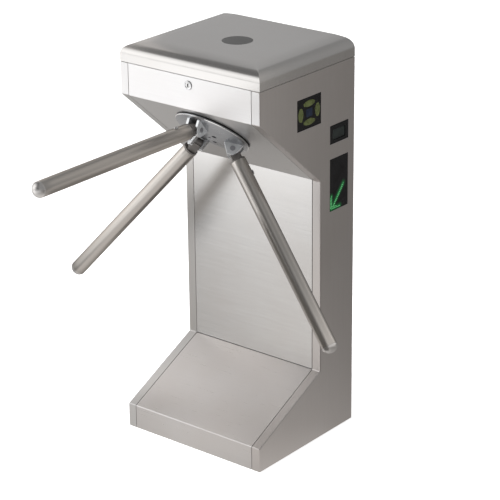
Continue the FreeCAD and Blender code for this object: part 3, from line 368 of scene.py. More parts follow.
def lathe(name, profile, frame_m, material, segs=96, sharp=35.0, closed=True):
    """Turned piece: (radius, height) profile in mm about the frame's Z axis."""
    bm = bmesh.new()
    rings = []
    for r, h in profile:
        if r < 1e-6:
            rings.append([bm.verts.new(frame_m @ Vector((0, 0, h * MM)))])
        else:
            rings.append([bm.verts.new(frame_m @ Vector((r * MM * math.cos(2 * math.pi * k / segs), r * MM * math.sin(2 * math.pi * k / segs), h * MM))) for k in range(segs)])
    pairs = list(zip(rings, rings[1:])) + ([(rings[-1], rings[0])] if closed else [])
    for a, b in pairs:
        if len(a) == 1 and len(b) == 1:
            continue
        for k in range(segs):
            j = (k + 1) % segs
            if len(a) == 1:
                bm.faces.new((a[0], b[k], b[j]))
            elif len(b) == 1:
                bm.faces.new((a[k], b[0], a[j]))
            else:
                bm.faces.new((a[k], b[k], b[j], a[j]))
    bmesh.ops.recalc_face_normals(bm, faces=bm.faces)
    o = finish_mesh(name, bm, 0.0, sharp=sharp)
    o.data.materials.append(material)
    turned_map(o.data, frame_m, max(r for r, h in profile) * MM)
    return o


def arc(cx, cy, r, a0, a1, n):
    return [(cx + r * math.cos(math.radians(a0 + (a1 - a0) * k / n)), cy + r * math.sin(math.radians(a0 + (a1 - a0) * k / n))) for k in range(n + 1)]


def joined(name, bms, material):
    """Several closed meshes as one piece."""
    out = bmesh.new()
    for b in bms:
        tmp = bpy.data.meshes.new("tmp")
        b.to_mesh(tmp)
        b.free()
        out.from_mesh(tmp)
        bpy.data.meshes.remove(tmp)
    o = finish_mesh(name, out, 0.0)
    o.data.materials.append(material)
    grain_map(o.data, along(0, 0, 1))
    return o


# ------------------------------------------------------------------ materials
M_FRONT = brushed("sheet_steel_across", (0.636, 0.630, 0.625), rough=0.30, aniso=0.5)
# brighter copy of the front steel: painted light that whitens the head's front faces
M_HEAD_PAINTED_LIGHT = brushed("sheet_steel_head_painted_light", (0.845, 0.838, 0.84), rough=0.46, aniso=0.5)
M_COLUMN = brushed("sheet_steel_column", (0.638, 0.628, 0.620), rough=0.22, aniso=0.45, tint=0.06, bump=0.012, cloud=0.045)
M_BASE = brushed("sheet_steel_base", (0.632, 0.614, 0.607), rough=0.28, aniso=0.4, tint=0.022, bump=0.0, cloud=0.05, vary=0.3)
M_SIDE = brushed("sheet_steel_side", (0.60, 0.571, 0.556), rough=0.32, aniso=0.45)
# darker copy of the front steel: painted shade on the left return flange beside the column
M_LEFT_SHADE = brushed("sheet_steel_return_painted_shade", (0.55, 0.536, 0.522), rough=0.34, aniso=0.45)
M_LID = brushed("sheet_steel_lid", (0.62, 0.607, 0.595), rough=0.23, aniso=0.3)
M_REAR = brushed("sheet_steel_rear", (0.60, 0.59, 0.58), rough=0.33, aniso=0.5)
M_ARM = brushed("tube_steel", (0.54, 0.513, 0.484), rough=0.29, aniso=0.35, fine=420, along=3, tint=0.028, bump=0.007, edge=(0.5, 0.48, 0.46), vary=0.6)
M_CAP = brushed("cap_steel", (0.63, 0.612, 0.598), rough=0.33, aniso=0.0, fine=500, along=40, bump=0.01)
M_HUB = cast("hub_casting", (0.45, 0.46, 0.48), 0.30, bump=0.02, grain=90, tint=0.05)
M_KNUCKLE = cast("knuckle_casting", (0.17, 0.159, 0.15), 0.45, metallic=0.6, bump=0.2, grain=300, tint=0.25)
M_CHEEK = cast("ear_cheek_blasted", (0.47, 0.48, 0.49), 0.5, metallic=0.35, bump=0.06, grain=420, tint=0.05)
M_MILLED = cast("ear_end_milled", (0.64, 0.65, 0.66), 0.26, bump=0.02, grain=200, tint=0.03)
# near-white copy of the casting: painted highlight on the chamfer round the hub's rim
M_RIM_HIGHLIGHT = cast("hub_rim_painted_highlight", (0.86, 0.86, 0.86), 0.16, bump=0.0, tint=0.01)
M_PIVOT = cast("pivot_steel", (0.27, 0.27, 0.285), 0.42, metallic=0.6, bump=0.03)
M_PIN = cast("blackened_steel", (0.15, 0.15, 0.155), 0.36, metallic=0.9, bump=0.05)
M_FASTENER = brushed("fastener_steel", (0.58, 0.58, 0.58), rough=0.25, aniso=0.0, bump=0.02)
M_CHROME = cast("chrome_plate", (0.66, 0.66, 0.67), 0.14, bump=0.01, tint=0.02)
M_PLUG = cast("plug_nickel", (0.66, 0.655, 0.65), 0.24, bump=0.03)
# black rubber seal; its near-black tone is also painted shade for the gap under the hub's rim
M_SEAL_AND_SHADE = cast("seal_rubber", (0.012, 0.012, 0.013), 0.6, metallic=0.0, bump=0.2, spec=0.3)
M_DISC = cast("disc_plastic", (0.062, 0.0615, 0.0605), 0.5, metallic=0.0, bump=0.15, grain=700, spec=0.35)
M_GALV = cast("galvanised_sheet", (0.50, 0.52, 0.53), 0.42, bump=0.06, grain=60, tint=0.15)
M_MACHINE = brushed("machined_steel", (0.52, 0.52, 0.525), rough=0.28, aniso=0.0, fine=600, along=60)
# near-black: painted shade in the gaps between the panels, put on the sheet edges
M_SEAM_SHADE = cast("seam_painted_shade", (0.03, 0.029, 0.028), 0.6, metallic=0.0, bump=0.1, spec=0.2)
M_IRON = cast("grey_casting", (0.16, 0.165, 0.17), 0.5, metallic=0.4, bump=0.5, grain=500)
M_BLACK = cast("black_coat", (0.02, 0.02, 0.021), 0.4, metallic=0.0, bump=0.2, grain=600)
M_CASE = cast("case_alloy", (0.55, 0.56, 0.57), 0.36, bump=0.05)
M_BOARD = cast("solder_mask", (0.012, 0.10, 0.04), 0.35, metallic=0.0, bump=0.1, grain=300)


def acrylic(name, color=(0.010, 0.010, 0.012), rough=0.10):
    m = Mat(name, **{"Specular_IOR_Level": 0.15, "Coat_Weight": 0.03, "Coat_Roughness": 0.08})
    n = m.noise(m.coords((35.0,) * 3), 3.0, 0.5)
    c = Vector(color)
    m.link(m.mix(m.span(n, 0.0, 1.0, 0.3, 0.7), c * 0.8, c * 1.25), m.b.inputs["Base Color"])
    m.link(m.span(n, rough - 0.03, rough + 0.05, 0.3, 0.7), m.b.inputs["Roughness"])
    return m.m


M_ACRYLIC = acrylic("black_acrylic", (0.0075, 0.0072, 0.0075))
M_NAVY = acrylic("navy_inlay", (0.012, 0.018, 0.035), 0.2)
M_LCD = acrylic("display_glass", (0.017, 0.0205, 0.019), 0.16)


def lens_green():
    m = Mat("petal_lens", **{"Specular_IOR_Level": 0.3, "Coat_Weight": 0.1, "Coat_Roughness": 0.12})
    # fine ribs of the moulded lens
    w = m.n("TexWave", wave_type="BANDS", bands_direction="Z")
    w.inputs["Scale"].default_value = 260.0
    w.inputs["Distortion"].default_value = 1.5
    m.link(m.coords((1, 1, 1)), w.inputs["Vector"])
    n = m.noise(m.coords((60.0,) * 3), 2.0, 0.5)
    a = m.mix(m.span(n, 0.0, 1.0, 0.3, 0.7), (0.048, 0.060, 0.014), (0.090, 0.108, 0.028))
    m.link(m.mix(m.span(w.outputs["Fac"], 0.0, 0.35), a, (0.125, 0.145, 0.048)), m.b.inputs["Base Color"])
    m.link(m.span(n, 0.22, 0.34), m.b.inputs["Roughness"])
    m.bump(w.outputs["Fac"], 0.12, 0.0003)
    return m.m


M_PETAL = lens_green()


def light_green():
    m = Mat("lit_green", Roughness=0.3)
    n = m.noise(m.coords((900.0,) * 3), 1.0, 0.5)
    deep = m.mix(m.span(n, 0.0, 1.0, 0.35, 0.65), (0.004, 0.14, 0.025), (0.010, 0.26, 0.055))
    # paler towards the tip of each dome
    sep = m.n("SeparateXYZ")
    m.link(m.coords((1, 1, 1)), sep.inputs[0])
    col = m.mix(m.span(sep.outputs["X"], 0.0, 1.0, 0.21098, 0.21122), deep, (0.20, 0.64, 0.27))
    m.link(col, m.b.inputs["Base Color"])
    m.link(col, m.b.inputs["Emission Color"])
    m.set("Emission Strength", 0.75)
    return m.m


def lit_window(segments):
    """Black acrylic with a faint glow that fades away from the given (y, z) lines, in mm."""
    m = Mat("black_acrylic_lit", **{"Specular_IOR_Level": 0.15, "Coat_Weight": 0.03, "Coat_Roughness": 0.08})
    n = m.noise(m.coords((35.0,) * 3), 3.0, 0.5)
    m.link(m.mix(m.span(n, 0.0, 1.0, 0.3, 0.7), (0.006, 0.0058, 0.006), (0.0094, 0.009, 0.0094)), m.b.inputs["Base Color"])
    m.link(m.span(n, 0.07, 0.15, 0.3, 0.7), m.b.inputs["Roughness"])
    flat = m.coords((0, 1, 1))
    near = None
    for (ay, az), (by, bz) in segments:
        d = Vector((0, by - ay, bz - az)) * MM
        rel = m.n("VectorMath", operation="SUBTRACT")
        m.link(flat, rel.inputs[0])
        rel.inputs[1].default_value = (0, ay * MM, az * MM)
        dot = m.n("VectorMath", operation="DOT_PRODUCT")
        m.link(rel.outputs[0], dot.inputs[0])
        dot.inputs[1].default_value = d / d.length_squared
        on = m.span(dot.outputs["Value"], 0.0, 1.0)
        step = m.n("VectorMath", operation="SCALE")
        step.inputs[0].default_value = d
        m.link(on, step.inputs["Scale"])
        gap = m.n("VectorMath", operation="DISTANCE")
        m.link(rel.outputs[0], gap.inputs[0])
        m.link(step.outputs[0], gap.inputs[1])
        near = gap.outputs["Value"] if near is None else m.math("MINIMUM", near, gap.outputs["Value"])
    fade = m.math("POWER", m.span(near, 1.0, 0.0, 0.001, 0.012), 2.0)
    m.set("Emission Color", (0.003, 0.11, 0.026))
    m.link(fade, m.b.inputs["Emission Strength"])
    return m.m


M_LIGHT = light_green()

# ------------------------------------------------------------------ cabinet
FOLD = 0.0022  # outside bend of the sheet
THIN = 0.0004  # broken edge of a cut sheet


def fold_weight(test):
    return lambda e: 1.0 if test(e) else THIN / FOLD


PROFILE = [(-188, 0), (188, 0), (188, 955), (-176, 955), (-176, 875), (54, 676), (54, 178), (-188, 62)]


def on_outline(co, tol=0.35):
    """True if a point's (y, z) lies on the outline of the side panels."""
    y, z = co.y / MM, co.z / MM
    for (ay, az), (by, bz) in zip(PROFILE, PROFILE[1:] + PROFILE[:1]):
        dy, dz = by - ay, bz - az
        ln = math.hypot(dy, dz)
        t = ((y - ay) * dy + (z - az) * dz) / ln
        d = abs((y - ay) * dz - (z - az) * dy) / ln
        if d < tol and -tol <= t <= ln + tol:
            return True
    return False


def side_fold(side):
    x_out = side * 0.211

    def test(e):
        a, b = (v.co for v in e.verts)
        if not (on_outline(a) and on_outline(b)):
            return False
        if abs(a.x - x_out) < 2e-5 and abs(b.x - x_out) < 2e-5:
            return min(a.z, b.z) > 1e-4 or abs(a.z - b.z) > 1e-4  # not the edge on the floor
        # the folds of the flange itself, across the panel
        return abs(a.x - b.x) > 0.01 and min(a.z, b.z) > 1e-4
    return test


def flange_grain(n, c):
    return np.where(np.abs(n[:, :1]) > 0.5, [[0.0, 0.0, 1.0]], np.cross(n, [1.0, 0.0, 0.0]))


left = skin("left_side_panel", M_FRONT, FOLD, 4, weight=fold_weight(side_fold(-1)), grain=flange_grain)
left.data.materials.append(M_LEFT_SHADE)
left.data.materials.append(M_SIDE)
left.data.materials.append(M_HEAD_PAINTED_LIGHT)
for f_ in left.data.polygons:
    # painted light: the flange's faces on the head front get the brighter copy of the steel
    if f_.normal.y < -0.97 and f_.center.z > 0.87 and f_.center.y < -0.17:
        f_.material_index = 3
    # painted shade: the left flange beside the column gets the darker copy of the steel
    elif f_.normal.y < -0.8 and 0.178 < f_.center.z < 0.676 and f_.center.y > 0.04:
        f_.material_index = 1
    elif abs(f_.normal.x) > 0.9:
        f_.material_index = 2
right_panel = skin("right_side_panel", M_SIDE, FOLD, 4, weight=fold_weight(side_fold(1)), grain=flange_grain)
right_panel.data.materials.append(M_HEAD_PAINTED_LIGHT)
for f_ in right_panel.data.polygons:
    # painted light: the flange's faces on the head front get the brighter copy of the steel
    if f_.normal.y < -0.97 and f_.center.z > 0.87 and f_.center.y < -0.17:
        f_.material_index = 1


def cross_fold(points):
    """Folds that run across X at the given (y, z) points, outside of the sheet."""
    def test(e):
        a, b = (v.co for v in e.verts)
        if abs(a.x - b.x) < 0.01:
            return False
        return any(abs(a.y / MM - y) < 0.4 and abs(a.z / MM - z) < 0.4 for y, z in points)
    return test


head = skin("head_front_panel", M_FRONT, FOLD, 4, weight=fold_weight(cross_fold([(-176, 955), (-176, 875)])))
head.data.materials.append(M_HEAD_PAINTED_LIGHT)
for f_ in head.data.polygons:
    # painted light: the head's front face gets the brighter copy of the steel
    if f_.normal.y < -0.97:
        f_.material_index = 1
base = skin("base_cover", M_BASE, FOLD, 4, weight=fold_weight(cross_fold([(-188, 62)])))
base.data.materials.append(M_SEAM_SHADE)
# painted shade: the base cover's back edge in the seam under the column is near-black
for f_ in base.data.polygons:
    if f_.center.y > 0.045 and f_.normal.y > 0.2:
        f_.material_index = 1
column = skin("column_front_panel", M_COLUMN, THIN, 2)
column.data.materials.append(M_SEAM_SHADE)
# painted shade: the column panel's right and bottom edges, in the seams, are near-black
for f_ in column.data.polygons:
    if f_.normal.x > 0.35 or f_.normal.z < -0.35:
        f_.material_index = 1
skin("rear_cover", M_REAR, THIN, 2)
skin("rear_top_rail", M_REAR, FOLD, 4, weight=fold_weight(cross_fold([(188, 955)])))


# the lid's top falls away slowly before it turns down into its front and sides
LID_CURVE = []
for th_ in range(0, 91):
    a_ = math.radians(th_)
    b_, c_ = math.radians(min(th_, 58)), math.radians(min(max(th_, 58), 84))
    e_ = math.radians(max(th_, 84))
    LID_CURVE.append((20 * (1 - math.cos(b_)) + 45 * (math.cos(math.radians(58)) - math.cos(c_)) + 400 * (math.cos(math.radians(84)) - math.cos(e_)),
                      20 * math.sin(b_) + 45 * (math.sin(c_) - math.sin(math.radians(58))) + 400 * (math.sin(e_) - math.sin(math.radians(84)))))
LID_CURVE = [(d_, 1000.0 - LID_CURVE[-1][1] + h_) for d_, h_ in LID_CURVE]


def lid_height(d):
    return float(np.interp(d, [c[0] for c in LID_CURVE], [c[1] for c in LID_CURVE]))


def lid_crown(bm):
    for d in (0.3, 0.8, 1.6, 2.8, 4.2, 6.0, 8.0, 10.2, 12.6, 15.2, 18.0, 21.0, 24.5, 28.5, 34.0, 40.0, 47.0, 54.0, 62.0, 70.3):
        for at, no in (((0, -0.176 + d * MM, 0), (0, 1, 0)), ((0.211 - d * MM, 0, 0), (1, 0, 0)), ((-0.211 + d * MM, 0, 0), (-1, 0, 0))):
            bmesh.ops.bisect_plane(bm, geom=bm.verts[:] + bm.edges[:] + bm.faces[:], dist=1e-6, plane_co=at, plane_no=no)
    for sx in (1, -1):
        bmesh.ops.bisect_plane(bm, geom=bm.verts[:] + bm.edges[:] + bm.faces[:], dist=1e-6, plane_co=(sx * 0.211, -0.176, 0), plane_no=(sx, 1, 0))
    for v in bm.verts:
        x, y, z = v.co / MM
        d = min(y + 176, x + 211, 211 - x)
        if z < 974.5 or d < 0.05:
            continue
        was = 974 + math.sqrt(max(676 - max(26 - d, 0) ** 2, 0))
        if abs(z - was) < 0.7:
            v.co.z = min(lid_height(d), was) * MM
        else:
            v.co.z += min(lid_height(d) - was, 0) * MM


skin("top_lid", M_LID, THIN * 1.5, 2, sharp=30, edit=lid_crown)
skin("base_plate", M_GALV, 0.0008, 2)
skin("reader_disc", M_DISC, 0.0003, 2)
skin("cover_screws", M_FASTENER, 0.0002, 1)
skin("cabinet_hinge_leaves", M_FASTENER, 0.0003, 2)
skin("lid_hinge_leaves", M_FASTENER, 0.0003, 2)
skin("lid_hinge_pins", M_FASTENER, 0.0003, 2)
skin("lid_striker", M_GALV, 0.0004, 2)

# ------------------------------------------------------------------ lock
barrel = skin("lock_barrel", M_CHROME, 0.0002, 2, sharp=25)
barrel.data.materials.append(M_BLACK)
# painted shade: the barrel's side wall gets the black coat, for the shadow in the gap round the barrel
for f_ in barrel.data.polygons:
    if abs(f_.normal.y) < 0.6:
        f_.material_index = 1
plug = skin("lock_plug", M_PLUG, 0.0002, 2, sharp=25)
plug.data.materials.append(M_BLACK)
# painted shade: the walls and back of the keyway get the black coat
for f_ in plug.data.polygons:
    x_, y_, z_ = f_.center / MM
    if abs(x_) < 1.3 and abs(z_ - 934) < 3.7 and (abs(f_.normal.y) < 0.5 or y_ > -172):
        f_.material_index = 1
# painted shade: thin black plates round the keyway stand in for the shadow in its mouth
keyway_shade_plates = []
for x0, x1, z0, z1 in ((-1.95, -0.9, -4.3, 4.3), (0.9, 1.95, -4.3, 4.3), (-0.9, 0.9, 3.4, 4.3), (-0.9, 0.9, -4.3, -3.4)):
    bm_ = bmesh.new()
    bmesh.ops.create_cube(bm_, size=1.0, matrix=Matrix.Translation(Vector(((x0 + x1) / 2, -177.42, 934 + (z0 + z1) / 2)) * MM) @ Matrix.Diagonal((abs(x1 - x0) * MM, 0.16 * MM, abs(z1 - z0) * MM, 1)))
    keyway_shade_plates.append(bm_)
settle(joined("keyway_painted_shade", keyway_shade_plates, M_BLACK), BODY["lock_plug"])
skin("lock_cam", M_FASTENER, 0.0003, 2)

# ------------------------------------------------------------------ side windows
skin("reader_panel", M_ACRYLIC, 0.0003, 2)
skin("counter_bezel", M_ACRYLIC, 0.0004, 2)
skin("counter_display", M_LCD, 0.0003, 2)
M_LIT = lit_window((((97, 594.5), (97, 626)), ((97, 595), (131, 595)), ((103, 600), (145, 649))))
skin("arrow_window", M_LIT, 0.0003, 2)


def petal(dy, dz, half, belly, end, upright, top, base_x, n=24, rings=6):
    """Leaf shape between two arcs with blunt ends, crowned towards its middle line."""
    cy, cz = 9.0 + dy, 861.5 + dz
    bow = belly - end
    r = (half * half + bow * bow) / (2 * bow)

    bm = bmesh.new()
    rows = []
    for k in range(n + 1):
        t = -1 + 2 * k / n
        s = half * t
        w = end + math.sqrt(r * r - s * s) - (r - bow)
        row = []
        for j in range(-rings, rings + 1):
            f = j / rings
            h = top * (1 - f * f) * (1 - t ** 6)
            o = f * w
            y, z = (cy - o, cz + s) if upright else (cy + s, cz + o)
            row.append(bm.verts.new(((base_x + 0.18 + h) * MM, y * MM, z * MM)))
        rows.append(row)
    for a, b in zip(rows, rows[1:]):
        for j in range(len(a) - 1):
            bm.faces.new((a[j], a[j + 1], b[j + 1], b[j]))
    rim = [r_[0] for r_ in rows] + rows[-1][1:] + [r_[-1] for r_ in reversed(rows[:-1])] + list(reversed(rows[0][1:-1]))
    low = [bm.verts.new((base_x * MM, v.co.y, v.co.z)) for v in rim]
    for k in range(len(rim)):
        j = (k + 1) % len(rim)
        bm.faces.new((rim[k], rim[j], low[j], low[k]))
    bm.faces.new(low)
    bmesh.ops.recalc_face_normals(bm, faces=bm.faces)
    return bm


LEAVES = ((0, 22.5, 21.5, 7.8, 2.6, 0), (0, -22.5, 21.5, 7.8, 2.6, 0), (-32, 0, 16.5, 9.6, 3.2, 1), (32, 0, 16.5, 9.6, 3.2, 1))
petals = joined("reader_petal_lenses", [petal(*p, 0.5, 210.7) for p in LEAVES], M_PETAL)
settle(petals, "cabinet", ("reader_petals",))


def plaque(name, y0, z0, y1, z1, x0, x1, r, material, n=6):
    """Thin plate with rounded corners on the right side, edges broken."""
    bm = bmesh.new()
    pts = []
    for cy, cz, a0 in ((y1 - r, z0 + r, -90), (y1 - r, z1 - r, 0), (y0 + r, z1 - r, 90), (y0 + r, z0 + r, 180)):
        pts += arc(cy, cz, r, a0, a0 + 90, n)
    low = [bm.verts.new((x0 * MM, y * MM, z * MM)) for y, z in pts]
    top = [bm.verts.new((x1 * MM, y * MM, z * MM)) for y, z in pts]
    bm.faces.new(list(reversed(low)))
    bm.faces.new(top)
    for k in range(len(pts)):
        j = (k + 1) % len(pts)
        bm.faces.new((low[k], low[j], top[j], top[k]))
    bmesh.ops.recalc_face_normals(bm, faces=bm.faces)
    o = finish_mesh(name, bm, 0.00012, 2)
    o.data.materials.append(material)
    grain_map(o.data, along(0, 0, 1))
    return settle(o, "cabinet")


plaque("reader_centre_inlay", -3.0, 851.5, 21.0, 871.5, 210.6, 210.95, 3.0, M_NAVY)


def dot_dome(y, z, r=1.1, x0=210.7, h=0.55, n=14):
    bm = bmesh.new()
    rings = []
    for f, hh in ((1.0, 0.0), (1.0, 0.25), (0.86, 0.62), (0.55, 0.9)):
        rings.append([bm.verts.new(((x0 + h * hh) * MM, (y + r * f * math.cos(2 * math.pi * k / n)) * MM, (z + r * f * math.sin(2 * math.pi * k / n)) * MM)) for k in range(n)])
    tip = bm.verts.new(((x0 + h) * MM, y * MM, z * MM))
    for a, b in zip(rings, rings[1:]):
        for k in range(n):
            j = (k + 1) % n
            bm.faces.new((a[k], a[j], b[j], b[k]))
    for k in range(n):
        bm.faces.new((rings[-1][k], rings[-1][(k + 1) % n], tip))
    bm.faces.new(list(reversed(rings[0])))
    bmesh.ops.recalc_face_normals(bm, faces=bm.faces)
    return bm


SPOTS = [(98.2, 594.5 + 3.6 * k) for k in range(0, 10)]
SPOTS += [(94.2, 596.3 + 3.6 * k) for k in range(0, 8)]
SPOTS += [(98.2 + 4.1 * k, 594.5) for k in range(1, 9)]
SPOTS += [(104.4 + 4.1 * k, 598.3) for k in range(0, 4)]
SPOTS += [(102.2 + 3.0 * k, 599.4 + 3.5 * k) for k in range(0, 15)]
SPOTS += [(107.6 + 3.0 * k, 601.6 + 3.5 * k) for k in range(0, 13)]
lights = joined("arrow_light_dots", [dot_dome(y, z) for y, z in SPOTS], M_LIGHT)
settle(lights, "cabinet", ("arrow_lights",))

# ------------------------------------------------------------------ hub
hub = skin("hub_plate", M_HUB, 0.0011, 3, sharp=32)
for m_ in (M_CHEEK, M_MILLED, M_RIM_HIGHLIGHT):
    hub.data.materials.append(m_)
BALL_Z = (20.0 ** 2 + 18.5 ** 2 - 93.8 ** 2 - 6.8 ** 2) / (2 * (18.5 - 6.8))
BALL_R = math.hypot(20.0, 18.5 - BALL_Z)
for f_ in hub.data.polygons:
    q_ = (f_.center - HUB_C) / MM
    h_ = q_.dot(EA)
    r_ = (q_ - EA * h_).length
    crown_ = BALL_Z + math.sqrt(BALL_R ** 2 - r_ ** 2)
    if h_ > min(crown_, 18.5) + 1.2:
        # blasted cheeks of the ears, milled ends and tops
        near_ = min(range(3), key=lambda i: (arm_frame(i).to_translation() - HUB_C).normalized().dot(q_.normalized()) * -1)
        side_ = abs(f_.normal.dot(arm_frame(near_).to_3x3() @ Vector((0, 1, 0))))
        f_.material_index = 1 if side_ > 0.75 else 2
    # painted highlight: the chamfer round the hub's rim gets the near-white copy
    elif r_ > 92.6 and h_ > 5.2:
        f_.material_index = 3
# black rubber seal ring, whose near-black tone also stands in for the shadow in the gap under the hub's rim
skin("hub_seal_ring", M_SEAL_AND_SHADE, 0.0004, 2)
screws = skin("hub_screws", M_PIN, 0.0003, 2)
screws.data.materials.append(M_HUB)
for f_ in screws.data.polygons:
    q_ = (f_.center - HUB_C) / MM
    if (q_ - EA * q_.dot(EA)).length < 11:
        f_.material_index = 1
skin("pivot_pins", M_PIVOT, 0.0005, 2)

# ------------------------------------------------------------------ arms
RING_AXES = {}
for i, nm in enumerate(("top", "left", "right")):
    A = arm_frame(i)
    body = nm + "_arm"
    ax = A.to_3x3() @ Vector((1, 0, 0))
    # frame whose Z runs along the arm
    AZ = A @ Matrix(((0, 0, 1, 0), (0, 1, 0, 0), (-1, 0, 0, 0), (0, 0, 0, 1)))
    tube = lathe(nm + "_arm_tube_skin", [(17, 30), (18.4, 30), (18.85, 30.2), (19, 30.8)] + [(19, 30.8 + (519.4 - 30.8) * k / 24) for k in range(1, 25)]
                 + [(18.85, 519.9), (18.5, 520), (17, 520)], AZ, M_ARM, segs=128)
    settle(tube, body, (nm + "_arm_tube",))
    ball = (19 ** 2 + 13.5 ** 2) / (2 * 13.5)
    dome = [(ball * math.sin(t), 537 - ball + ball * math.cos(t)) for t in [math.asin(19 / ball) * (1 - k / 20) for k in range(1, 21)]]
    cap = lathe(nm + "_arm_cap_skin", [(0, 506), (17, 506), (17, 520.0), (18.5, 520.0), (18.9, 520.3), (19, 520.9), (19, 523.2)] + dome[:-1] + [(0, 537)], AZ, M_CAP,
                segs=96, closed=False)
    settle(cap, body, (nm + "_arm_cap",))
    skin(nm + "_arm_knuckle", M_KNUCKLE, 0.0012, 3, sharp=30, grain=along(*ax))
    skin(nm + "_arm_screw", M_FASTENER, 0.0003, 2, sharp=30)

# ------------------------------------------------------------------ inside
for n_ in "mechanism_plate electronics_tray".split():
    skin(n_, M_GALV, 0.0005, 2)
for n_ in "shaft_bearings main_shaft hub_gear index_cam lock_wheel damper_pinion detent_lever detent_roller lock_pawl solenoid_plunger release_rod".split():
    skin(n_, M_MACHINE, 0.0003, 1)
skin("detent_spring", M_MACHINE, 0.0)
skin("bearing_housing", M_IRON, 0.0006, 2)
for n_ in "rotary_damper lock_solenoid release_solenoid".split():
    skin(n_, M_BLACK, 0.0006, 2)
skin("power_supply", M_CASE, 0.0006, 2)
skin("control_board", M_BOARD, 0.0003, 1)

# ------------------------------------------------------------------ stage: floor, reflectors, light, camera
def plane(name, size, z):
    mesh = bpy.data.meshes.new(name)
    s = size / 2
    mesh.from_pydata([(-s, -s, z), (s, -s, z), (s, s, z), (-s, s, z)], [], [(0, 1, 2, 3)])
    o = link_object(name, mesh)
    return o


floor = plane("floor", 60.0, -0.0005)
fm = bpy.data.materials.new("pale_floor")
fm.use_nodes = True
fb = fm.node_tree.nodes["Principled BSDF"]
fb.inputs["Base Color"].default_value = (0.9, 0.9, 0.9, 1)
fb.inputs["Roughness"].default_value = 0.9
fb.inputs["Specular IOR Level"].default_value = 0.1
fb.inputs["Emission Color"].default_value = (1, 1, 1, 1)
fb.inputs["Emission Strength"].default_value = 0.7
floor.data.materials.append(fm)
floor.visible_glossy = False

# what polished faces see of the floor: light in front and to the left, darker behind to the right
card = plane("floor_reflector", 60.0, -0.0003)
card.visible_camera = False
card.visible_diffuse = False
card.visible_shadow = False
card.visible_transmission = False
cm = bpy.data.materials.new("floor_reflector")
cm.use_nodes = True
ct = cm.node_tree
ct.nodes.clear()
co = ct.nodes.new("ShaderNodeOutputMaterial")
ce = ct.nodes.new("ShaderNodeEmission")
ctc = ct.nodes.new("ShaderNodeTexCoord")
cd = ct.nodes.new("ShaderNodeVectorMath")
cd.operation = "DOT_PRODUCT"
cd.inputs[1].default_value = (-0.628, -0.778, 0.0)
cr = ct.nodes.new("ShaderNodeMapRange")
cr.inputs["From Min"].default_value = -4.0
cr.inputs["From Max"].default_value = 4.0
ramp = ct.nodes.new("ShaderNodeValToRGB")
ct.links.new(ctc.outputs["Object"], cd.inputs[0])
ct.links.new(cd.outputs["Value"], cr.inputs["Value"])
ct.links.new(cr.outputs["Result"], ramp.inputs["Fac"])
cd2 = ct.nodes.new("ShaderNodeVectorMath")
cd2.operation = "DOT_PRODUCT"
cd2.inputs[1].default_value = (0.703, -0.721, 0.0)
cr2 = ct.nodes.new("ShaderNodeMapRange")
cr2.inputs["From Min"].default_value = -1.5
cr2.inputs["From Max"].default_value = 1.5
ramp2 = ct.nodes.new("ShaderNodeValToRGB")
cmul = ct.nodes.new("ShaderNodeVectorMath")
cmul.operation = "MULTIPLY"
ct.links.new(ctc.outputs["Object"], cd2.inputs[0])
ct.links.new(cd2.outputs["Value"], cr2.inputs["Value"])
ct.links.new(cr2.outputs["Result"], ramp2.inputs["Fac"])
ct.links.new(ramp.outputs["Color"], cmul.inputs[0])
ct.links.new(ramp2.outputs["Color"], cmul.inputs[1])
ct.links.new(cmul.outputs["Vector"], ce.inputs["Color"])
ct.links.new(ce.outputs["Emission"], co.inputs["Surface"])


def stops(r, points):
    els = r.color_ramp.elements
    while len(els) > 1:
        els.remove(els[-1])
    els[0].position = points[0][0]
    els[0].color = tuple(points[0][1]) + (1,)
    for pos, c in points[1:]:
        e = els.new(pos)
        e.color = tuple(c) + (1,)


def tone(v, warm=0.0):
    return (v * (1 + warm), v, v * (1 - warm))


FLOOR_AT = [(-4.0, 0.375, 0.035), (-2.4, 0.355, 0.035), (-1.5, 0.315, 0.035), (-0.6, 0.37, 0.035), (-0.25, 0.45, 0.03), (0.15, 0.76, 0.03), (0.4, 0.82, 0.03),
            (1.1, 0.87, 0.015), (1.7, 1.07, 0.0), (2.3, 1.95, 0.0), (2.9, 2.0, 0.0), (3.2, 1.85, 0.0), (3.45, 1.62, -0.01), (4.0, 1.55, 0.0)]
ACROSS_AT = [(-1.5, 0.62), (-0.35, 0.62), (-0.15, 0.69), (0.0, 0.87), (0.12, 1.0), (0.65, 1.0), (1.2, 0.74), (1.5, 0.6)]
stops(ramp, [((p + 4.0) / 8.0, tone(v / 2.5, w)) for p, v, w in FLOOR_AT])
stops(ramp2, [((p + 1.5) / 3.0, tone(v)) for p, v in ACROSS_AT])
ce.inputs["Strength"].default_value = 2.5
card.data.materials.append(cm)

# white card to the left, at the height that the sloping base cover mirrors
side_card = bpy.data.meshes.new("side_card")
side_card.from_pydata([(-0.75, -0.40, 0.4), (-0.75, 0.52, 0.4), (-0.75, 0.52, 1.6), (-0.75, -0.40, 1.6)], [], [(0, 1, 2, 3)])
side_o = link_object("side_card", side_card)
side_o.visible_camera = False
side_o.visible_diffuse = False
side_o.visible_shadow = False
side_o.visible_transmission = False
sm = bpy.data.materials.new("side_card")
sm.use_nodes = True
sm.node_tree.nodes.clear()
so = sm.node_tree.nodes.new("ShaderNodeOutputMaterial")
se = sm.node_tree.nodes.new("ShaderNodeEmission")
se.inputs["Color"].default_value = (1.0, 0.97, 0.945, 1)
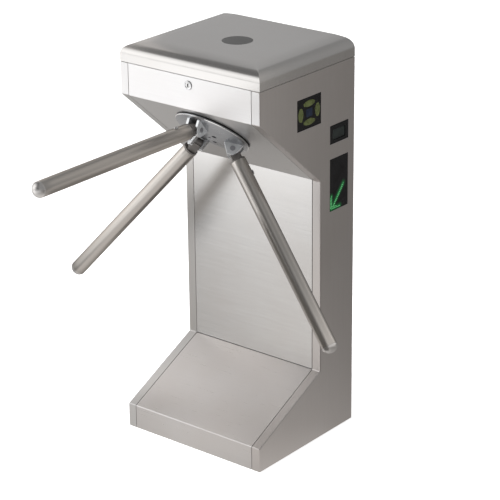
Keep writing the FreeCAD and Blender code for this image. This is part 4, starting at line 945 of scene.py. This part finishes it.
# brighter towards the front
stc = sm.node_tree.nodes.new("ShaderNodeTexCoord")
sxyz = sm.node_tree.nodes.new("ShaderNodeSeparateXYZ")
srange = sm.node_tree.nodes.new("ShaderNodeMapRange")
for key, v in (("From Min", -0.22), ("From Max", 0.16), ("To Min", 1.44), ("To Max", 0.665)):
    srange.inputs[key].default_value = v
sm.node_tree.links.new(stc.outputs["Object"], sxyz.inputs[0])
sm.node_tree.links.new(sxyz.outputs["Y"], srange.inputs["Value"])
sm.node_tree.links.new(srange.outputs["Result"], se.inputs["Strength"])
sm.node_tree.links.new(se.outputs["Emission"], so.inputs["Surface"])
side_card.materials.append(sm)

# dark flag in front, which the right arm mirrors along its lower half
flag = bpy.data.meshes.new("dark_flag")
flag.from_pydata([(x, -0.25, z) for x, z in ((0.03, 0.49), (0.33, 0.20), (0.46, 0.24), (0.47, 0.34), (0.40, 0.42), (0.13, 0.655), (0.03, 0.60))], [], [(0, 1, 2, 3, 4, 5, 6)])
flag_o = link_object("dark_flag", flag)
flag_o.visible_camera = False
flag_o.visible_diffuse = False
flag_o.visible_shadow = False
flag_o.visible_transmission = False
fgm = bpy.data.materials.new("dark_flag")
fgm.use_nodes = True
fgm.node_tree.nodes.clear()
fgo = fgm.node_tree.nodes.new("ShaderNodeOutputMaterial")
fge = fgm.node_tree.nodes.new("ShaderNodeEmission")
fge.inputs["Color"].default_value = (1.0, 0.95, 0.90, 1)
fge.inputs["Strength"].default_value = 0.14
fgm.node_tree.links.new(fge.outputs["Emission"], fgo.inputs["Surface"])
flag.materials.append(fgm)

# grey card behind to the right, which the level arm mirrors past the cabinet
back_card = bpy.data.meshes.new("back_card")
back_card.from_pydata([(x, 0.35, z) for x, z in ((0.68, 0.40), (0.95, 0.40), (0.95, 1.75), (0.0, 1.85), (0.0, 1.52), (0.40, 1.44), (0.62, 1.25), (0.68, 1.10))], [],
                      [(0, 1, 2, 7), (2, 6, 7), (2, 5, 6), (2, 3, 5), (3, 4, 5)])
back_o = link_object("back_card", back_card)
back_o.visible_camera = False
back_o.visible_diffuse = False
back_o.visible_shadow = False
back_o.visible_transmission = False
bkm = bpy.data.materials.new("back_card")
bkm.use_nodes = True
bkm.node_tree.nodes.clear()
bko = bkm.node_tree.nodes.new("ShaderNodeOutputMaterial")
bke = bkm.node_tree.nodes.new("ShaderNodeEmission")
bke.inputs["Color"].default_value = (1.0, 0.97, 0.935, 1)
bke.inputs["Strength"].default_value = 0.64
bkm.node_tree.links.new(bke.outputs["Emission"], bko.inputs["Surface"])
back_card.materials.append(bkm)

# thin veils beside the arms, seen only in their mirror images: one takes light away, the others add a little
def veil(name, arm, toward, off, x0, x1, half, x_from, x_to, power, most, dims):
    A = arm_frame(arm)
    al = A.to_3x3() @ Vector((1, 0, 0))
    n = Vector(toward)
    n = (n - al * n.dot(al)).normalized()
    w = n.cross(al)
    mesh = bpy.data.meshes.new(name)
    mesh.from_pydata([(x0, -half, 0), (x1, -half, 0), (x1, half, 0), (x0, half, 0)], [], [(0, 1, 2, 3)])
    o = link_object(name, mesh)
    at = A.to_translation() + n * off
    o.matrix_world = Matrix(((al.x, w.x, n.x, at.x), (al.y, w.y, n.y, at.y), (al.z, w.z, n.z, at.z), (0, 0, 0, 1)))
    o.visible_camera = False
    o.visible_diffuse = False
    o.visible_shadow = False
    o.visible_transmission = False
    mat = bpy.data.materials.new(name)
    mat.use_nodes = True
    t = mat.node_tree
    t.nodes.clear()
    out = t.nodes.new("ShaderNodeOutputMaterial")
    tc = t.nodes.new("ShaderNodeTexCoord")
    xyz = t.nodes.new("ShaderNodeSeparateXYZ")
    t.links.new(tc.outputs["Object"], xyz.inputs[0])
    run = t.nodes.new("ShaderNodeMapRange")
    run.inputs["From Min"].default_value = x_from
    run.inputs["From Max"].default_value = x_to
    t.links.new(xyz.outputs["X"], run.inputs["Value"])
    bend = t.nodes.new("ShaderNodeMath")
    bend.operation = "POWER"
    bend.inputs[1].default_value = power
    t.links.new(run.outputs["Result"], bend.inputs[0])
    wide = t.nodes.new("ShaderNodeMath")
    wide.operation = "ABSOLUTE"
    t.links.new(xyz.outputs["Y"], wide.inputs[0])
    fade = t.nodes.new("ShaderNodeMapRange")
    fade.interpolation_type = "SMOOTHSTEP"
    for key, v in (("From Min", half * 0.55), ("From Max", half), ("To Min", most), ("To Max", 0.0)):
        fade.inputs[key].default_value = v
    t.links.new(wide.outputs[0], fade.inputs["Value"])
    both = t.nodes.new("ShaderNodeMath")
    both.operation = "MULTIPLY"
    t.links.new(bend.outputs[0], both.inputs[0])
    t.links.new(fade.outputs["Result"], both.inputs[1])
    clear = t.nodes.new("ShaderNodeBsdfTransparent")
    if dims:
        left = t.nodes.new("ShaderNodeMath")
        left.operation = "SUBTRACT"
        left.inputs[0].default_value = 1.0
        t.links.new(both.outputs[0], left.inputs[1])
        t.links.new(left.outputs[0], clear.inputs["Color"])
        t.links.new(clear.outputs[0], out.inputs["Surface"])
    else:
        clear.inputs["Color"].default_value = (1, 1, 1, 1)
        glow = t.nodes.new("ShaderNodeEmission")
        glow.inputs["Color"].default_value = (1.0, 0.97, 0.94, 1)
        t.links.new(both.outputs[0], glow.inputs["Strength"])
        add = t.nodes.new("ShaderNodeAddShader")
        t.links.new(clear.outputs[0], add.inputs[0])
        t.links.new(glow.outputs[0], add.inputs[1])
        t.links.new(add.outputs[0], out.inputs["Surface"])
    mesh.materials.append(mat)


veil("left_tip_veil", 1, (-0.375, -0.60, 0.42), 0.038, 0.20, 0.62, 0.095, 0.23, 0.56, 2.0, 0.60, True)
veil("right_tip_veil", 2, (0.74, -0.11, 0.59), 0.06, 0.16, 0.58, 0.12, 0.23, 0.50, 2.0, 0.42, False)
veil("top_low_veil", 0, (0.458, 0.0, -0.889), 0.05, 0.0, 0.52, 0.11, -0.02, 0.02, 1.0, 0.15, False)
veil("top_hub_veil", 0, (0.40, 0.0, 0.85), 0.03, 0.0, 0.14, 0.07, 0.14, 0.04, 1.0, 0.11, False)

world = bpy.data.worlds.new("studio")
SCENE.world = world
world.use_nodes = True
wt = world.node_tree
wt.nodes.clear()
wo = wt.nodes.new("ShaderNodeOutputWorld")
wb = wt.nodes.new("ShaderNodeBackground")
wtc = wt.nodes.new("ShaderNodeTexCoord")
wd = wt.nodes.new("ShaderNodeVectorMath")
wd.operation = "DOT_PRODUCT"
wd.inputs[1].default_value = Vector((-0.80, -0.58, 0.15)).normalized()
wr = wt.nodes.new("ShaderNodeMapRange")
wr.inputs["From Min"].default_value = -1.0
wr.inputs["From Max"].default_value = 1.0
wramp = wt.nodes.new("ShaderNodeValToRGB")
wt.links.new(wtc.outputs["Generated"], wd.inputs[0])
wt.links.new(wd.outputs["Value"], wr.inputs["Value"])
wt.links.new(wr.outputs["Result"], wramp.inputs["Fac"])
wt.links.new(wb.outputs["Background"], wo.inputs["Surface"])
SKY_AT = [(-1.0, 0.32), (-0.94, 0.34), (-0.885, 0.36), (-0.84, 0.36), (-0.75, 0.36), (-0.63, 0.36), (-0.47, 0.35), (-0.33, 0.34), (-0.17, 0.31), (-0.05, 0.32), (0.03, 0.41), (0.06, 0.50), (0.13, 0.53), (0.16, 0.45),
          (0.20, 0.355), (0.26, 0.265), (0.32, 0.215), (0.42, 0.19), (0.68, 0.20), (0.74, 0.37), (0.80, 0.95), (0.86, 1.30), (0.95, 1.62), (1.0, 1.85)]
stops(wramp, [((p + 1.0) / 2.0, tone(v / 2.0)) for p, v in SKY_AT])
# darker straight in front
wd2 = wt.nodes.new("ShaderNodeVectorMath")
wd2.operation = "DOT_PRODUCT"
wd2.inputs[1].default_value = Vector((-0.15, -0.97, 0.2)).normalized()
wr2 = wt.nodes.new("ShaderNodeMapRange")
wr2.inputs["From Min"].default_value = -1.0
wr2.inputs["From Max"].default_value = 1.0
wramp2 = wt.nodes.new("ShaderNodeValToRGB")
wmul = wt.nodes.new("ShaderNodeVectorMath")
wmul.operation = "MULTIPLY"
wt.links.new(wtc.outputs["Generated"], wd2.inputs[0])
wt.links.new(wd2.outputs["Value"], wr2.inputs["Value"])
wt.links.new(wr2.outputs["Result"], wramp2.inputs["Fac"])
wt.links.new(wramp.outputs["Color"], wmul.inputs[0])
wt.links.new(wramp2.outputs["Color"], wmul.inputs[1])
wt.links.new(wmul.outputs["Vector"], wb.inputs["Color"])
stops(wramp2, [((p + 1.0) / 2.0, tone(v)) for p, v in [(-1.0, 1.0), (0.885, 1.0), (0.93, 0.3), (0.955, 0.25), (0.975, 0.8), (1.0, 0.9)]])
wb.inputs["Strength"].default_value = 2.0


def area(name, at, to, sx, sy, watts, glossy=True, color=(1, 1, 1)):
    d = bpy.data.lights.new(name, "AREA")
    d.shape = "RECTANGLE"
    d.size, d.size_y = sx, sy
    d.energy = watts
    d.color = color
    o = bpy.data.objects.new(name, d)
    SCENE.collection.objects.link(o)
    o.location = at
    o.rotation_mode = "QUATERNION"
    o.rotation_quaternion = (Vector(to) - Vector(at)).to_track_quat("-Z", "Y")
    o.visible_camera = False
    o.visible_glossy = glossy
    return o


area("overhead", (-0.8, -1.2, 4.2), (0, 0, 0), 4.0, 4.0, 150, glossy=False)
area("strip", (-2.2, -1.9, 2.3), (0, 0, 0.75), 0.9, 1.8, 60, glossy=False)

cam_d = bpy.data.cameras.new("camera")
cam_d.sensor_fit = "HORIZONTAL"
cam_d.sensor_width = 36.0
cam_d.lens = 2028.61 * 36.0 / 500.0
cam_d.clip_start, cam_d.clip_end = 0.1, 200.0
cam = bpy.data.objects.new("camera", cam_d)
SCENE.collection.objects.link(cam)
az, el, roll = math.radians(38.899), math.radians(21.734), math.radians(-0.605)
back = Vector((math.sin(az) * math.cos(el), -math.cos(az) * math.cos(el), math.sin(el)))
fwd = -back
right = fwd.cross(Vector((0, 0, 1))).normalized()
up = right.cross(fwd)
r2 = right * math.cos(roll) + up * math.sin(roll)
u2 = -right * math.sin(roll) + up * math.cos(roll)
cam.matrix_world = basis(Vector((2.9311, -3.5876, 2.3149)), r2, u2, back)
SCENE.camera = cam

SCENE.view_settings.view_transform = "Standard"
SCENE.view_settings.look = "None"
